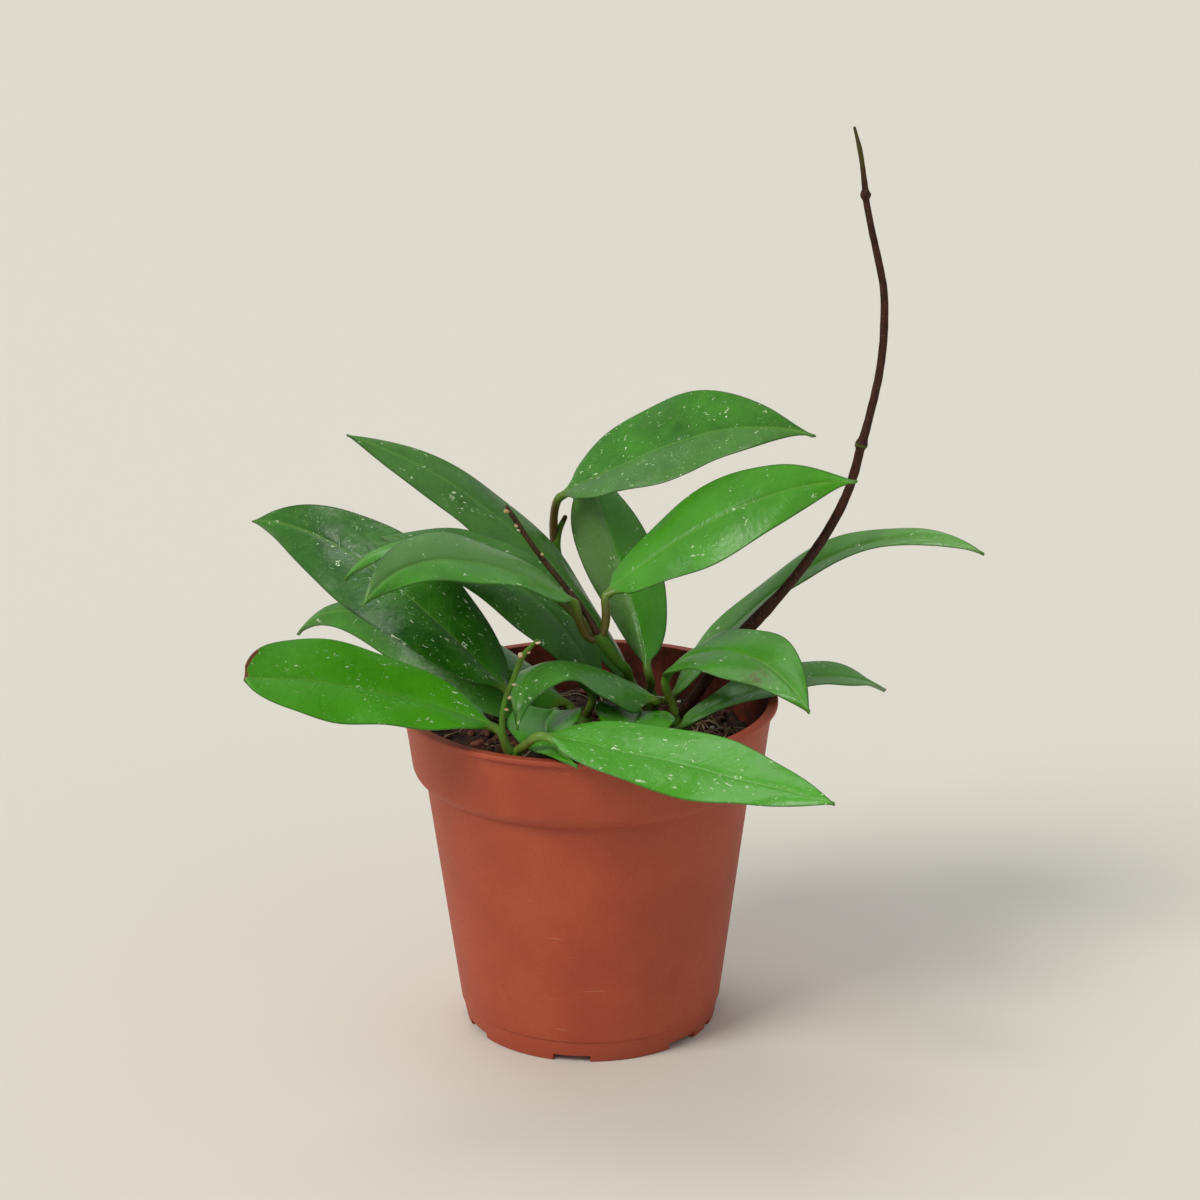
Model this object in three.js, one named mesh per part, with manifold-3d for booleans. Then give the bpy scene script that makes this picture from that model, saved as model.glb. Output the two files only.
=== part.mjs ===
// A young hoya in a round plastic pot. Millimetres, +Z up, the pot stands on z = 0.
// Leaves, stems, soil and pot are separate solids, seated a small gap apart.
import * as THREE from 'three';
import * as BufferGeometryUtils from 'three/addons/utils/BufferGeometryUtils.js';
import Module from 'manifold-3d';

const wasm = await Module();
wasm.setup();

// ---- Driving dimensions -------------------------------------------------
const SEAT_GAP = 0.3;

const POT_HEIGHT = 93.7;
const LIP_RADIUS = 52.5;
const LIP_HEIGHT = 1.4;
const BAND_TOP_RADIUS = 51.1;
const BAND_LOW_RADIUS = 48.7;
const BAND_LOW_Z = 77.2;
const STEP_Z = 72.5;
const STEP_RADIUS = 45.3;
const FOOT_TOP_Z = 6.2;
const FOOT_TOP_RADIUS = 36.7;
const FOOT_RADIUS = 35.2;
const FOOT_WIDTH = 2.4;
const WALL = 1.4;
const FLOOR_LOW = 2.2;
const FLOOR_TOP = 3.8;
const CREASE_DEPTH = 0.5;
const EDGE_BEVEL = 0.4;
const STEP_CURVE_RADIUS = 4.8;
const STEP_CURVE_INSET = 1.2;
const STEP_CURVE_FROM = -66;
const STEP_CURVE_TO = -6;
const STEP_CURVE_PIECES = 4;
const POT_SIDES = 60;

const NOTCH_HEIGHT = 2;
const NOTCH_OFFSET = -9;
const WIDE_NOTCHES = [0, 55, 125, 180, 235, 305];
const NARROW_NOTCHES = [76, 104, 256, 284];
const WIDE_NOTCH_ANGLE = 17;
const NARROW_NOTCH_ANGLE = 6;
const DRAIN_RADIUS = 4;
const DRAIN_CIRCLE = 22;
const DRAIN_COUNT = 6;
const DRAIN_SIDES = 16;
const CUT_NEAR = 20;
const CUT_FAR = 60;
const CUT_OVERSHOOT = 1;

const SOIL_LEVEL = 80;
const SOIL_CROWN = 2.5;
const SOIL_RELIEF = 0.9;
const SOIL_CROWN_REACH = 48;
const SOIL_WALL_GAP = 0.6;
const SOIL_SIDES = 40;
const SOIL_RINGS = 7;

const PETIOLE_RADIUS = 1.2;
const BLADE_THICKNESS = 1.5;
const BLADE_EDGE_SHARE = 0.5;
const BLADE_TIP_SHARE = 0.75;
const BLADE_TIP_HALF_WIDTH = 0.7;
const BLADE_NECK_STATIONS = 3;
const RING_POINTS = 10;
const PETIOLE_STEPS = 5;
const BLADE_STEPS = 12;
const EDGE_WAVE = 0.5;
const WAVE_RATE = 17;
const STALK_SPROUT = 0.45;
const STALK_EASE = 0.4;
const STALK_TO_BLADE = 8;

const STEM_SIDES = 8;
const STEM_STEPS = 2;
const VINE_STEPS = 1;
const SHOOT_SIDES = 6;
const SHOOT_STEPS = 2;

const DEG = Math.PI / 180;

// Stems: a route from the soil up, [x, y, z, radius] at each point.
// Shoots are fused to their stem: a flower stalk, or the bud at its tip.
const STEMS = {
  stem_middle: {
    route: [[8, 13, 56, 1.5], [9, 12, 80, 1.5], [11, 7.5, 92, 1.4], [11, 1, 100.5, 1.4], [8, -5.5, 106, 1.45],
      [3.4, -8, 113.4, 1.8], [2.2, -8.2, 115.5, 1]],
    shoots: [[[3.4, -8.4, 113.8, 1], [-0.6, -8.5, 121, 0.85], [-7.2, -7, 129.5, 0.8],
      [-13.4, -6, 137.5, 0.75], [-19.3, -5, 146.4, 0.75], [-21.3, -5, 149.8, 0.45]]],
  },
  stem_tall: {
    route: [[4, 38, 56, 1.5], [3, 38, 80, 1.6], [-1, 38, 101, 1.4], [-6.5, 37.5, 118, 1.35],
      [-9, 37, 126, 1.7], [-7.4, 37, 132, 0.9], [-6, 37, 135, 0.7]],
    shoots: [],
  },
  stem_back: {
    route: [[18, 23.5, 56, 1.7], [17.8, 23, 80, 2], [17.5, 23, 85.5, 2.3], [17.5, 23, 88.5, 1.4]],
    shoots: [],
  },
  stem_right: {
    route: [[24, -2, 56, 1.6], [24, -2, 80, 1.8], [24, -2, 86, 2.3], [24, -2, 89, 1.2]],
    shoots: [],
  },
  stem_inner: {
    route: [[18.5, 4.5, 56, 1.6], [18.5, 4.5, 80, 1.8], [18.5, 4.5, 85.8, 2.2], [18.5, 4.5, 88.4, 1.3]],
    shoots: [],
  },
  stem_left: {
    route: [[-2, 5, 56, 1.6], [-1.5, 5, 80, 1.8], [-1, 5, 84.5, 2.3], [-1, 5, 87, 1.3]],
    shoots: [],
  },
  stem_low: {
    route: [[-13, 0, 56, 1.6], [-13, 0, 80, 1.8], [-14, -1, 85.5, 2.3], [-14.5, -1.4, 88, 1.3]],
    shoots: [],
  },
  stem_front: {
    route: [[-15, -30, 60, 1.5], [-16.5, -34, 80, 1.6], [-18.6, -39.6, 89, 1.6], [-19.5, -41.2, 92.3, 1.9],
      [-20, -41.6, 94.2, 1.1]],
    shoots: [[[-20, -41.8, 93, 1.2], [-21.3, -42.4, 95.5, 0.95], [-22.4, -42.8, 99.7, 0.85],
      [-21.9, -43, 106.6, 0.75], [-19.4, -43, 113.5, 0.7], [-16.5, -43, 120.3, 0.75],
      [-13, -43, 124.3, 0.4]]],
  },
  vine: {
    route: [[25.2, 8.8, 56, 1.6], [25.2, 8.5, 80, 1.7], [25.9, 8, 84.8, 1.65], [30.6, 6, 92.5, 1.55],
      [39.8, 3, 107.5, 1.55], [46.4, 1, 115.4, 1.9], [53.8, 0, 124, 1.4], [63.1, -0.5, 136.9, 1.35],
      [68.5, -0.5, 146.5, 1.3], [71.6, -0.5, 154.2, 1.25], [73.9, 0, 163.1, 1.25], [74.2, 0, 164.6, 1.8],
      [74.9, 0, 167, 1.25], [76.7, 0.5, 174.1, 1.15], [78.7, 1, 183.6, 1.1], [79.8, 1.5, 194.4, 1.1],
      [79.6, 2, 206.4, 1.05], [78.1, 2, 214, 1], [76.4, 2, 221.2, 0.95], [74.5, 2, 230.2, 0.9],
      [74.3, 2, 231.8, 1.45], [74.1, 2, 233.9, 0.85], [73.5, 2, 238.4, 0.7], [72.6, 2, 243.6, 0.65],
      [71.1, 2, 249.4, 0.4]],
    shoots: [],
  },
};

// Leaves. foot: where the leaf stalk leaves its stem. base: where the blade starts.
// sprout: bearing and slope of the stalk as it leaves the stem; ease: how gently it meets the blade.
// heading: compass bearing at the base, 0 = +X, 90 = away; turn: change of it to the tip.
// rise, droop: slope at base and tip; bend: over 1 the change comes late.
// roll: tilt of the blade about its midrib at base and tip. fold: trough (+) or arch (-).
// full, taper: how fast the outline fills out from the base and closes to the tip.
const LEAVES = {
  leaf_top: { stem: 'stem_tall', foot: [-9, 37, 126], ease: 0.12, sprout: [180, 84],
    base: [-7.1, 31.3, 142.6], length: 89, width: 34, heading: -9, turn: -47, rise: 30, droop: -3,
    bend: 1.85, roll: [-13, -72], fold: 11, full: 0.76, taper: 1.6 },
  leaf_upper_right: { stem: 'stem_middle', foot: [3.4, -8, 113.4], ease: 0.1, sprout: [0, 55],
    base: [5.2, -8.1, 125.4], length: 84, width: 27, heading: 19, turn: -75, rise: 36, droop: 8, bend: 2,
    roll: [1, -95], fold: -2, full: 0.7, taper: 1.4 },
  leaf_back: { stem: 'stem_back', foot: [17.5, 23, 86.8], sprout: [-70, 60], base: [16.7, 14.6, 97.3],
    length: 57, width: 26, heading: 105, turn: 46, rise: 52, droop: 71, bend: 0.95, roll: [48, 40],
    fold: -39, full: 0.76, taper: 0.56 },
  leaf_long: { stem: 'stem_back', foot: [17.5, 23, 83], sprout: [200, 15], base: [13.9, 20.7, 88.5],
    length: 112, width: 22.5, heading: 176, turn: 3, rise: 62, droop: 19, bend: 1.24, roll: [3, 44],
    fold: -10, full: 0.62, taper: 0.93 },
  leaf_left: { stem: 'stem_low', foot: [-14, -1, 85], sprout: [200, 40], base: [-21.8, -5.7, 97.1],
    length: 105, width: 30, heading: 154, turn: -23, rise: 39, droop: -14, bend: 1.67, roll: [-5, 69],
    fold: 4, full: 0.55, taper: 1.03 },
  leaf_centre: { stem: 'stem_middle', foot: [3.4, -8, 113.4], ease: 0.1, sprout: [185, -25],
    base: [-3.5, -11.3, 124.5], length: 86, width: 22, heading: 202, turn: 51, rise: 33, droop: -18,
    bend: 1.46, roll: [13, 43], fold: 8, full: 0.67, taper: 1.22 },
  leaf_small: { stem: 'stem_middle', foot: [4.6, -7.2, 111.4], sprout: [130, 25],
    base: [-14.6, -5.1, 128.6], length: 61, width: 14.6, heading: 196, turn: 23, rise: 34, droop: -46,
    bend: 2.1, roll: [-27, -4], fold: -16, full: 0.63, taper: 1.05 },
  leaf_under: { stem: 'stem_left', foot: [-1, 5, 84.3], sprout: [180, 10], base: [-6, 7.5, 89.3],
    length: 98, width: 28, heading: 172, turn: -41, rise: 25, droop: -50, bend: 2.6, roll: [12, 55],
    fold: -22, full: 0.41, taper: 1.26 },
  leaf_low_left: { stem: 'stem_front', foot: [-18.9, -40.2, 90.1], sprout: [170, 30],
    base: [-24.8, -38, 98.6], length: 71, width: 29, heading: 177, turn: 44, rise: 23, droop: 13,
    bend: 0.9, roll: [12, 44], fold: 7, full: 0.68, taper: 0.55 },
  leaf_dark: { stem: 'stem_left', foot: [-1, 5, 86], sprout: [-30, 60], base: [1.1, 3.2, 91], length: 81,
    width: 26, heading: 180, turn: 0, rise: 105, droop: 8, bend: 0.5, roll: [54, 7], fold: 4, full: 0.95,
    taper: 0.75 },
  leaf_arched: { stem: 'stem_inner', foot: [18.5, 4.4, 87.8], ease: 0.12, sprout: [-85, 60],
    base: [17.9, -8.2, 95.5], length: 62.5, width: 23.5, heading: 184.5, turn: 80, rise: 33, droop: -77,
    bend: 2.6, roll: [16.5, -10.5], fold: -20, full: 0.55, taper: 1.15 },
  leaf_front_right: { stem: 'stem_right', foot: [24, -2, 87], ease: 0.25, sprout: [60, 84],
    base: [21.4, -3, 99.6], length: 62, width: 24.5, heading: -32, turn: -34, rise: 69, droop: -29,
    bend: 0.54, roll: [-5, -29], fold: 4, full: 0.73, taper: 1.19 },
  leaf_far_right: { stem: 'stem_back', foot: [17.5, 23, 85], ease: 0.1, sprout: [-30, 5],
    base: [23.5, 20.9, 85.3], length: 113.5, width: 18.2, heading: -2, turn: -42, rise: 52, droop: -14,
    bend: 1.95, roll: [-9, -28], fold: 12, full: 0.44, taper: 1.07 },
  leaf_low_right: { stem: 'stem_right', foot: [24, -2, 84], sprout: [-70, 10], base: [24.1, -7.7, 86.3],
    length: 72, width: 18, heading: 16, turn: 23, rise: 27, droop: -32, bend: 1.2, roll: [8, -18],
    fold: 13, full: 0.68, taper: 0.85 },
  leaf_front: { stem: 'stem_front', foot: [-19.5, -41.2, 92.9], ease: 0.2, sprout: [-42, 30],
    base: [-11.7, -48.2, 99.7], length: 82, width: 27, heading: -2, turn: -43, rise: -11, droop: 3,
    bend: 1.34, roll: [-6, -33], fold: 5, full: 0.67, taper: 1.13 },
  leaf_over_rim: { stem: 'stem_low', foot: [-13, 0, 83], sprout: [-40, 40], base: [-9.2, -11, 93.2],
    length: 49, width: 21.5, heading: -104.5, turn: 44, rise: 5.6, droop: -1, bend: 0.92, roll: [0, -30],
    fold: 16, full: 0.48, taper: 1.4 },
  leaf_inner: { stem: 'stem_inner', foot: [18.5, 4.5, 84], ease: 0.2, sprout: [200, 40],
    base: [13.9, -6, 90.9], length: 34, width: 22.5, heading: -97, turn: -2, rise: 9, droop: -13,
    bend: 1.3, roll: [9, 8], fold: 14, full: 0.52, taper: 1.1 },
};

// ---- Small tools ----------------------------------------------------------
const vec = (a) => new THREE.Vector3(a[0], a[1], a[2]);
const mix = (a, b, k) => a + (b - a) * k;
const bearing = (heading, rise) => new THREE.Vector3(
  Math.cos(rise * DEG) * Math.cos(heading * DEG),
  Math.cos(rise * DEG) * Math.sin(heading * DEG),
  Math.sin(rise * DEG));

function toManifold(geometry) {
  const bare = geometry.clone();
  bare.deleteAttribute('normal');
  bare.deleteAttribute('uv');
  const merged = BufferGeometryUtils.mergeVertices(bare, 1e-4);
  return new wasm.Manifold(new wasm.Mesh({
    numProp: 3,
    vertProperties: new Float32Array(merged.attributes.position.array),
    triVerts: new Uint32Array(merged.index.array),
  }));
}

function toGeometry(solid) {
  const mesh = solid.getMesh();
  const geometry = new THREE.BufferGeometry();
  geometry.setAttribute('position', new THREE.BufferAttribute(mesh.vertProperties, 3));
  geometry.setIndex(new THREE.BufferAttribute(mesh.triVerts, 1));
  geometry.computeVertexNormals();
  return geometry;
}

function indexedGeometry(points, faces) {
  const geometry = new THREE.BufferGeometry();
  const flat = points.flatMap((p) => [p.x, p.y, p.z]);
  geometry.setAttribute('position', new THREE.Float32BufferAttribute(flat, 3));
  geometry.setIndex(faces);
  return geometry;
}

// Closes a stack of equal rings into one skin. flip(k) turns a strip's diagonal.
function skin(rings, flip) {
  const count = rings[0].length;
  const points = rings.flat();
  const faces = [];
  for (let i = 0; i + 1 < rings.length; i += 1) {
    for (let k = 0; k < count; k += 1) {
      const a = i * count + k;
      const b = i * count + ((k + 1) % count);
      const c = b + count;
      const d = a + count;
      if (flip(k)) faces.push(a, b, d, b, c, d);
      else faces.push(a, b, c, a, c, d);
    }
  }
  const capAt = (ring, start, sense) => {
    const centre = ring.reduce((sum, p) => sum.add(p), new THREE.Vector3()).divideScalar(count);
    points.push(centre);
    for (let k = 0; k < count; k += 1) {
      const next = start + ((k + 1) % count);
      faces.push(points.length - 1, ...(sense > 0 ? [start + k, next] : [next, start + k]));
    }
  };
  capAt(rings[0], 0, -1);
  capAt(rings[rings.length - 1], (rings.length - 1) * count, 1);
  return indexedGeometry(points, faces);
}

// A round tube through route points that carry their own radius.
function tube(route, extra, sides, stepsPerSpan) {
  const curve = new THREE.CatmullRomCurve3(route.map(vec), false, 'centripetal');
  const total = (route.length - 1) * stepsPerSpan;
  const rings = [];
  let side = new THREE.Vector3(1, 0, 0);
  for (let i = 0; i <= total; i += 1) {
    const along = i / stepsPerSpan;
    const span = Math.min(Math.floor(along), route.length - 2);
    const radius = mix(route[span][3], route[span + 1][3], along - span) + extra;
    const tangent = curve.getTangent(i / total);
    side = side.addScaledVector(tangent, -side.dot(tangent)).normalize();
    const up = new THREE.Vector3().crossVectors(tangent, side);
    const centre = curve.getPoint(i / total);
    const ring = [];
    for (let k = 0; k < sides; k += 1) {
      const angle = (2 * Math.PI * k) / sides;
      ring.push(centre.clone()
        .addScaledVector(side, radius * Math.cos(angle))
        .addScaledVector(up, radius * Math.sin(angle)));
    }
    rings.push(ring);
  }
  return toManifold(skin(rings, () => false));
}

// ---- Leaf -------------------------------------------------------------------
// Half width along the blade, 1 at its widest place.
function outline(leaf, t) {
  const widest = leaf.full / (leaf.full + leaf.taper);
  const at = (s) => s ** leaf.full * (1 - s) ** leaf.taper;
  return at(Math.min(Math.max(t, 0), 1)) / at(widest);
}

function bladeFrame(leaf, t) {
  const heading = leaf.heading + leaf.turn * t;
  const slope = mix(leaf.rise, leaf.droop, t ** leaf.bend);
  const roll = mix(leaf.roll[0], leaf.roll[1], t) * DEG;
  const tangent = bearing(heading, slope);
  const level = new THREE.Vector3(Math.sin(heading * DEG), -Math.cos(heading * DEG), 0);
  const face = new THREE.Vector3().crossVectors(level, tangent);
  const side = level.clone().multiplyScalar(Math.cos(roll)).addScaledVector(face, Math.sin(roll));
  const normal = face.clone().multiplyScalar(Math.cos(roll)).addScaledVector(level, -Math.sin(roll));
  return { tangent, side, normal };
}

function leafSolid(leaf) {
  const rings = [];
  const start = bladeFrame(leaf, 0);
  const foot = vec(leaf.foot);
  const base = vec(leaf.base);
  const reach = foot.distanceTo(base);
  const stalk = new THREE.CubicBezierCurve3(
    foot,
    foot.clone().addScaledVector(bearing(leaf.sprout[0], leaf.sprout[1]), reach * STALK_SPROUT),
    base.clone().addScaledVector(start.tangent, -reach * (leaf.ease ?? STALK_EASE)),
    base);
  for (let i = 0; i < PETIOLE_STEPS; i += 1) {
    const s = i / PETIOLE_STEPS;
    const tangent = stalk.getTangent(s);
    const side = start.side.clone().addScaledVector(tangent, -start.side.dot(tangent)).normalize();
    const normal = new THREE.Vector3().crossVectors(side, tangent);
    const centre = stalk.getPoint(s);
    const ring = [];
    for (let k = 0; k < RING_POINTS; k += 1) {
      const angle = ((k + 0.5) / RING_POINTS) * 2 * Math.PI;
      ring.push(centre.clone()
        .addScaledVector(side, PETIOLE_RADIUS * Math.cos(angle))
        .addScaledVector(normal, PETIOLE_RADIUS * Math.sin(angle)));
    }
    rings.push(ring);
  }
  const spine = base.clone();
  const stride = leaf.length / BLADE_STEPS;
  const fold = leaf.fold * DEG;
  for (let i = 0; i <= BLADE_STEPS; i += 1) {
    const t = i / BLADE_STEPS;
    const frame = bladeFrame(leaf, t);
    if (i > 0) spine.addScaledVector(bladeFrame(leaf, t - 0.5 / BLADE_STEPS).tangent, stride);
    const least = i < BLADE_NECK_STATIONS ? PETIOLE_RADIUS : BLADE_TIP_HALF_WIDTH;
    const half = Math.max((leaf.width / 2) * outline(leaf, t), least);
    const flat = Math.min(1, t * STALK_TO_BLADE);
    const ring = [];
    for (let k = 0; k < RING_POINTS; k += 1) {
      const angle = ((k + 0.5) / RING_POINTS) * 2 * Math.PI;
      const above = k < RING_POINTS / 2;
      const u = above ? 1 - k / 2 : -1 + (k - RING_POINTS / 2) / 2;
      const face = above ? 1 : -1;
      const wave = EDGE_WAVE * Math.sin(t * WAVE_RATE + leaf.length + 2 * u) * u * u * flat;
      const thick = (BLADE_THICKNESS / 2) * mix(1, BLADE_EDGE_SHARE, u * u)
        * mix(1, BLADE_TIP_SHARE, t);
      const across = half * u * Math.cos(fold);
      const rise = half * Math.abs(u) * Math.sin(fold) + face * thick + wave;
      ring.push(spine.clone()
        .addScaledVector(frame.side, mix(PETIOLE_RADIUS * Math.cos(angle), across, flat))
        .addScaledVector(frame.normal, mix(PETIOLE_RADIUS * Math.sin(angle), rise, flat)));
    }
    rings.push(ring);
  }
  rings.forEach((ring) => ring.reverse());
  return toManifold(skin(rings, (k) => k < RING_POINTS / 2));
}

// ---- Pot and soil --------------------------------------------------------------
const arc = (cx, cz, r, from, to, steps) => Array.from({ length: steps + 1 }, (_, i) => {
  const a = mix(from, to, i / steps) * DEG;
  return new THREE.Vector2(cx + r * Math.cos(a), cz + r * Math.sin(a));
});

const point = (r, z) => new THREE.Vector2(r, z);

function lathe(profile, sides) {
  const geometry = new THREE.LatheGeometry(profile, sides);
  geometry.rotateX(Math.PI / 2);
  return toManifold(geometry);
}

function wedge(angle, width) {
  const half = (width / 2) * DEG;
  const shape = new THREE.Shape();
  shape.moveTo(CUT_NEAR, CUT_NEAR * Math.tan(-half));
  shape.lineTo(CUT_FAR, CUT_FAR * Math.tan(-half));
  shape.lineTo(CUT_FAR, CUT_FAR * Math.tan(half));
  shape.lineTo(CUT_NEAR, CUT_NEAR * Math.tan(half));
  shape.closePath();
  const geometry = new THREE.ExtrudeGeometry(shape, {
    depth: NOTCH_HEIGHT + CUT_OVERSHOOT,
    bevelEnabled: false,
  });
  geometry.translate(0, 0, -CUT_OVERSHOOT);
  geometry.rotateZ((angle + NOTCH_OFFSET - 90) * DEG);
  return toManifold(geometry);
}

const INNER_BODY_TOP = STEP_Z - 1;

function potSolid() {
  const profile = [
    point(0, FLOOR_LOW),
    point(FOOT_RADIUS - FOOT_WIDTH, FLOOR_LOW),
    point(FOOT_RADIUS - FOOT_WIDTH, 0),
    point(FOOT_RADIUS - EDGE_BEVEL, 0),
    point(FOOT_RADIUS, EDGE_BEVEL),
    point(FOOT_TOP_RADIUS - CREASE_DEPTH, FOOT_TOP_Z - CREASE_DEPTH),
    point(FOOT_TOP_RADIUS - CREASE_DEPTH, FOOT_TOP_Z),
    point(FOOT_TOP_RADIUS, FOOT_TOP_Z + CREASE_DEPTH),
    point(STEP_RADIUS, STEP_Z),
    ...arc(STEP_RADIUS - STEP_CURVE_INSET, BAND_LOW_Z, STEP_CURVE_RADIUS,
      STEP_CURVE_FROM, STEP_CURVE_TO, STEP_CURVE_PIECES),
    point(BAND_TOP_RADIUS, POT_HEIGHT - LIP_HEIGHT),
    point(LIP_RADIUS - EDGE_BEVEL, POT_HEIGHT - LIP_HEIGHT),
    point(LIP_RADIUS, POT_HEIGHT - LIP_HEIGHT + EDGE_BEVEL),
    point(LIP_RADIUS, POT_HEIGHT - EDGE_BEVEL),
    point(LIP_RADIUS - EDGE_BEVEL, POT_HEIGHT),
    point(BAND_TOP_RADIUS - WALL, POT_HEIGHT),
    point(BAND_LOW_RADIUS - WALL - 0.2, BAND_LOW_Z),
    point(STEP_RADIUS - WALL, INNER_BODY_TOP),
    point(FOOT_TOP_RADIUS - WALL - 0.6, FOOT_TOP_Z),
    point(FOOT_RADIUS - WALL, FLOOR_TOP),
    point(0, FLOOR_TOP),
  ];
  let pot = lathe(profile, POT_SIDES);
  WIDE_NOTCHES.forEach((angle) => { pot = pot.subtract(wedge(angle, WIDE_NOTCH_ANGLE)); });
  NARROW_NOTCHES.forEach((angle) => { pot = pot.subtract(wedge(angle, NARROW_NOTCH_ANGLE)); });
  for (let i = 0; i < DRAIN_COUNT; i += 1) {
    const angle = ((i + 0.5) * 2 * Math.PI) / DRAIN_COUNT;
    const depth = FLOOR_TOP + 2 * CUT_OVERSHOOT;
    const drain = new THREE.CylinderGeometry(DRAIN_RADIUS, DRAIN_RADIUS, depth, DRAIN_SIDES);
    drain.rotateX(Math.PI / 2);
    drain.translate(DRAIN_CIRCLE * Math.cos(angle), DRAIN_CIRCLE * Math.sin(angle), FLOOR_TOP / 2);
    pot = pot.subtract(toManifold(drain));
  }
  return pot;
}

// Height of the soil's surface: a low crown with lumps that the relief gives it.
function soilHeight(x, y) {
  const r = Math.hypot(x, y);
  const crown = SOIL_CROWN * (1 - (r / SOIL_CROWN_REACH) ** 2);
  const lumps = Math.sin(x * 0.31 + 1) * Math.cos(y * 0.27) + 0.7 * Math.sin(x * 0.53 - y * 0.61);
  return SOIL_LEVEL + crown + SOIL_RELIEF * lumps;
}

function soilSolid() {
  const wall = [
    [FOOT_RADIUS - WALL - SOIL_WALL_GAP, FLOOR_TOP + SEAT_GAP],
    [FOOT_TOP_RADIUS - WALL - 1, FOOT_TOP_Z],
    [STEP_RADIUS - WALL - 0.4, INNER_BODY_TOP],
    [BAND_LOW_RADIUS - WALL - SOIL_WALL_GAP, BAND_LOW_Z],
  ];
  const edge = BAND_LOW_RADIUS - WALL - 0.5;
  const rings = wall.map(([r, z]) => Array.from({ length: SOIL_SIDES }, (_, k) => {
    const a = (2 * Math.PI * k) / SOIL_SIDES;
    return new THREE.Vector3(r * Math.cos(a), r * Math.sin(a), z);
  }));
  for (let i = 0; i < SOIL_RINGS; i += 1) {
    const r = edge * (1 - i / SOIL_RINGS);
    rings.push(Array.from({ length: SOIL_SIDES }, (_, k) => {
      const a = (2 * Math.PI * k) / SOIL_SIDES;
      const x = r * Math.cos(a);
      const y = r * Math.sin(a);
      return new THREE.Vector3(x, y, soilHeight(x, y));
    }));
  }
  return toManifold(skin(rings, () => false));
}

// ---- Assembly ------------------------------------------------------------------
const stems = {};
const clearances = {};
for (const [name, stem] of Object.entries(STEMS)) {
  const steps = name === 'vine' ? VINE_STEPS : STEM_STEPS;
  stems[name] = tube(stem.route, 0, STEM_SIDES, steps);
  clearances[name] = tube(stem.route, SEAT_GAP, STEM_SIDES, steps);
  for (const shoot of stem.shoots) {
    stems[name] = stems[name].add(tube(shoot, 0, SHOOT_SIDES, SHOOT_STEPS));
    clearances[name] = clearances[name].add(tube(shoot, SEAT_GAP, SHOOT_SIDES, SHOOT_STEPS));
  }
}

let soil = soilSolid();
for (const clearance of Object.values(clearances)) soil = soil.subtract(clearance);

const LOOKS = {
  pot: { color: 0xa5482e, roughness: 0.7, metalness: 0 },
  soil: { color: 0x3c261c, roughness: 1, metalness: 0 },
  vine: { color: 0x3c261e, roughness: 0.6, metalness: 0 },
  stem: { color: 0x5f5a22, roughness: 0.6, metalness: 0 },
  leaf: { color: 0x328223, roughness: 0.45, metalness: 0 },
};

const plant = new THREE.Group();

function place(name, solid, look) {
  const mesh = new THREE.Mesh(toGeometry(solid), new THREE.MeshStandardMaterial(look));
  mesh.name = name;
  plant.add(mesh);
}

place('pot', potSolid(), LOOKS.pot);
place('soil', soil, LOOKS.soil);
for (const [name, solid] of Object.entries(stems)) {
  place(name, solid, name === 'vine' ? LOOKS.vine : LOOKS.stem);
}
for (const [name, leaf] of Object.entries(LEAVES)) {
  place(name, leafSolid(leaf).subtract(clearances[leaf.stem]), LOOKS.leaf);
}

// The origin is the middle of the whole plant's floor area.
const bounds = new THREE.Box3().setFromObject(plant);
const middle = bounds.getCenter(new THREE.Vector3());
plant.position.set(-middle.x, -middle.y, 0);

export default plant;
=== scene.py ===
import random
from math import cos, exp, hypot, pi, radians, sin, sqrt, tan, tau

import bmesh
import bpy
from mathutils import Matrix, Vector, noise


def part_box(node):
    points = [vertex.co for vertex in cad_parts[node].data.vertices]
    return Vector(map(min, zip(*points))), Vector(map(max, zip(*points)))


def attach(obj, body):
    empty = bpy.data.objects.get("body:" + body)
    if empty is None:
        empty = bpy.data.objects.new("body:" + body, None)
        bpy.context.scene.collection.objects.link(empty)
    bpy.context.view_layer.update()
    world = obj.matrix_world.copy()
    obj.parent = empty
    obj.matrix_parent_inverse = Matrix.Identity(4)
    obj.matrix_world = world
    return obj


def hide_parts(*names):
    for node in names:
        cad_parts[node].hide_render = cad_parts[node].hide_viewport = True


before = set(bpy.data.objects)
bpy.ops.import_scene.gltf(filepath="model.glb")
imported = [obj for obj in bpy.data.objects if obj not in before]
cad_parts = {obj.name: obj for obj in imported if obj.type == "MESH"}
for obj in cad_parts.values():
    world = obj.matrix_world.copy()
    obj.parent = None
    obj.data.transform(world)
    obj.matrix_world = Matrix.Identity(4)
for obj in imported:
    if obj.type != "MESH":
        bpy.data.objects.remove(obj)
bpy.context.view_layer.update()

# ---- Frame and sizes ----
# Shapes are written in millimetres about the pot's own axis. build() turns them into
# metres and moves them to where the frame has the pot.
MM = 0.001
pot_low, pot_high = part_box("pot")
AXIS = Vector(((pot_low.x + pot_high.x) / 2, (pot_low.y + pot_high.y) / 2, 0))

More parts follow.
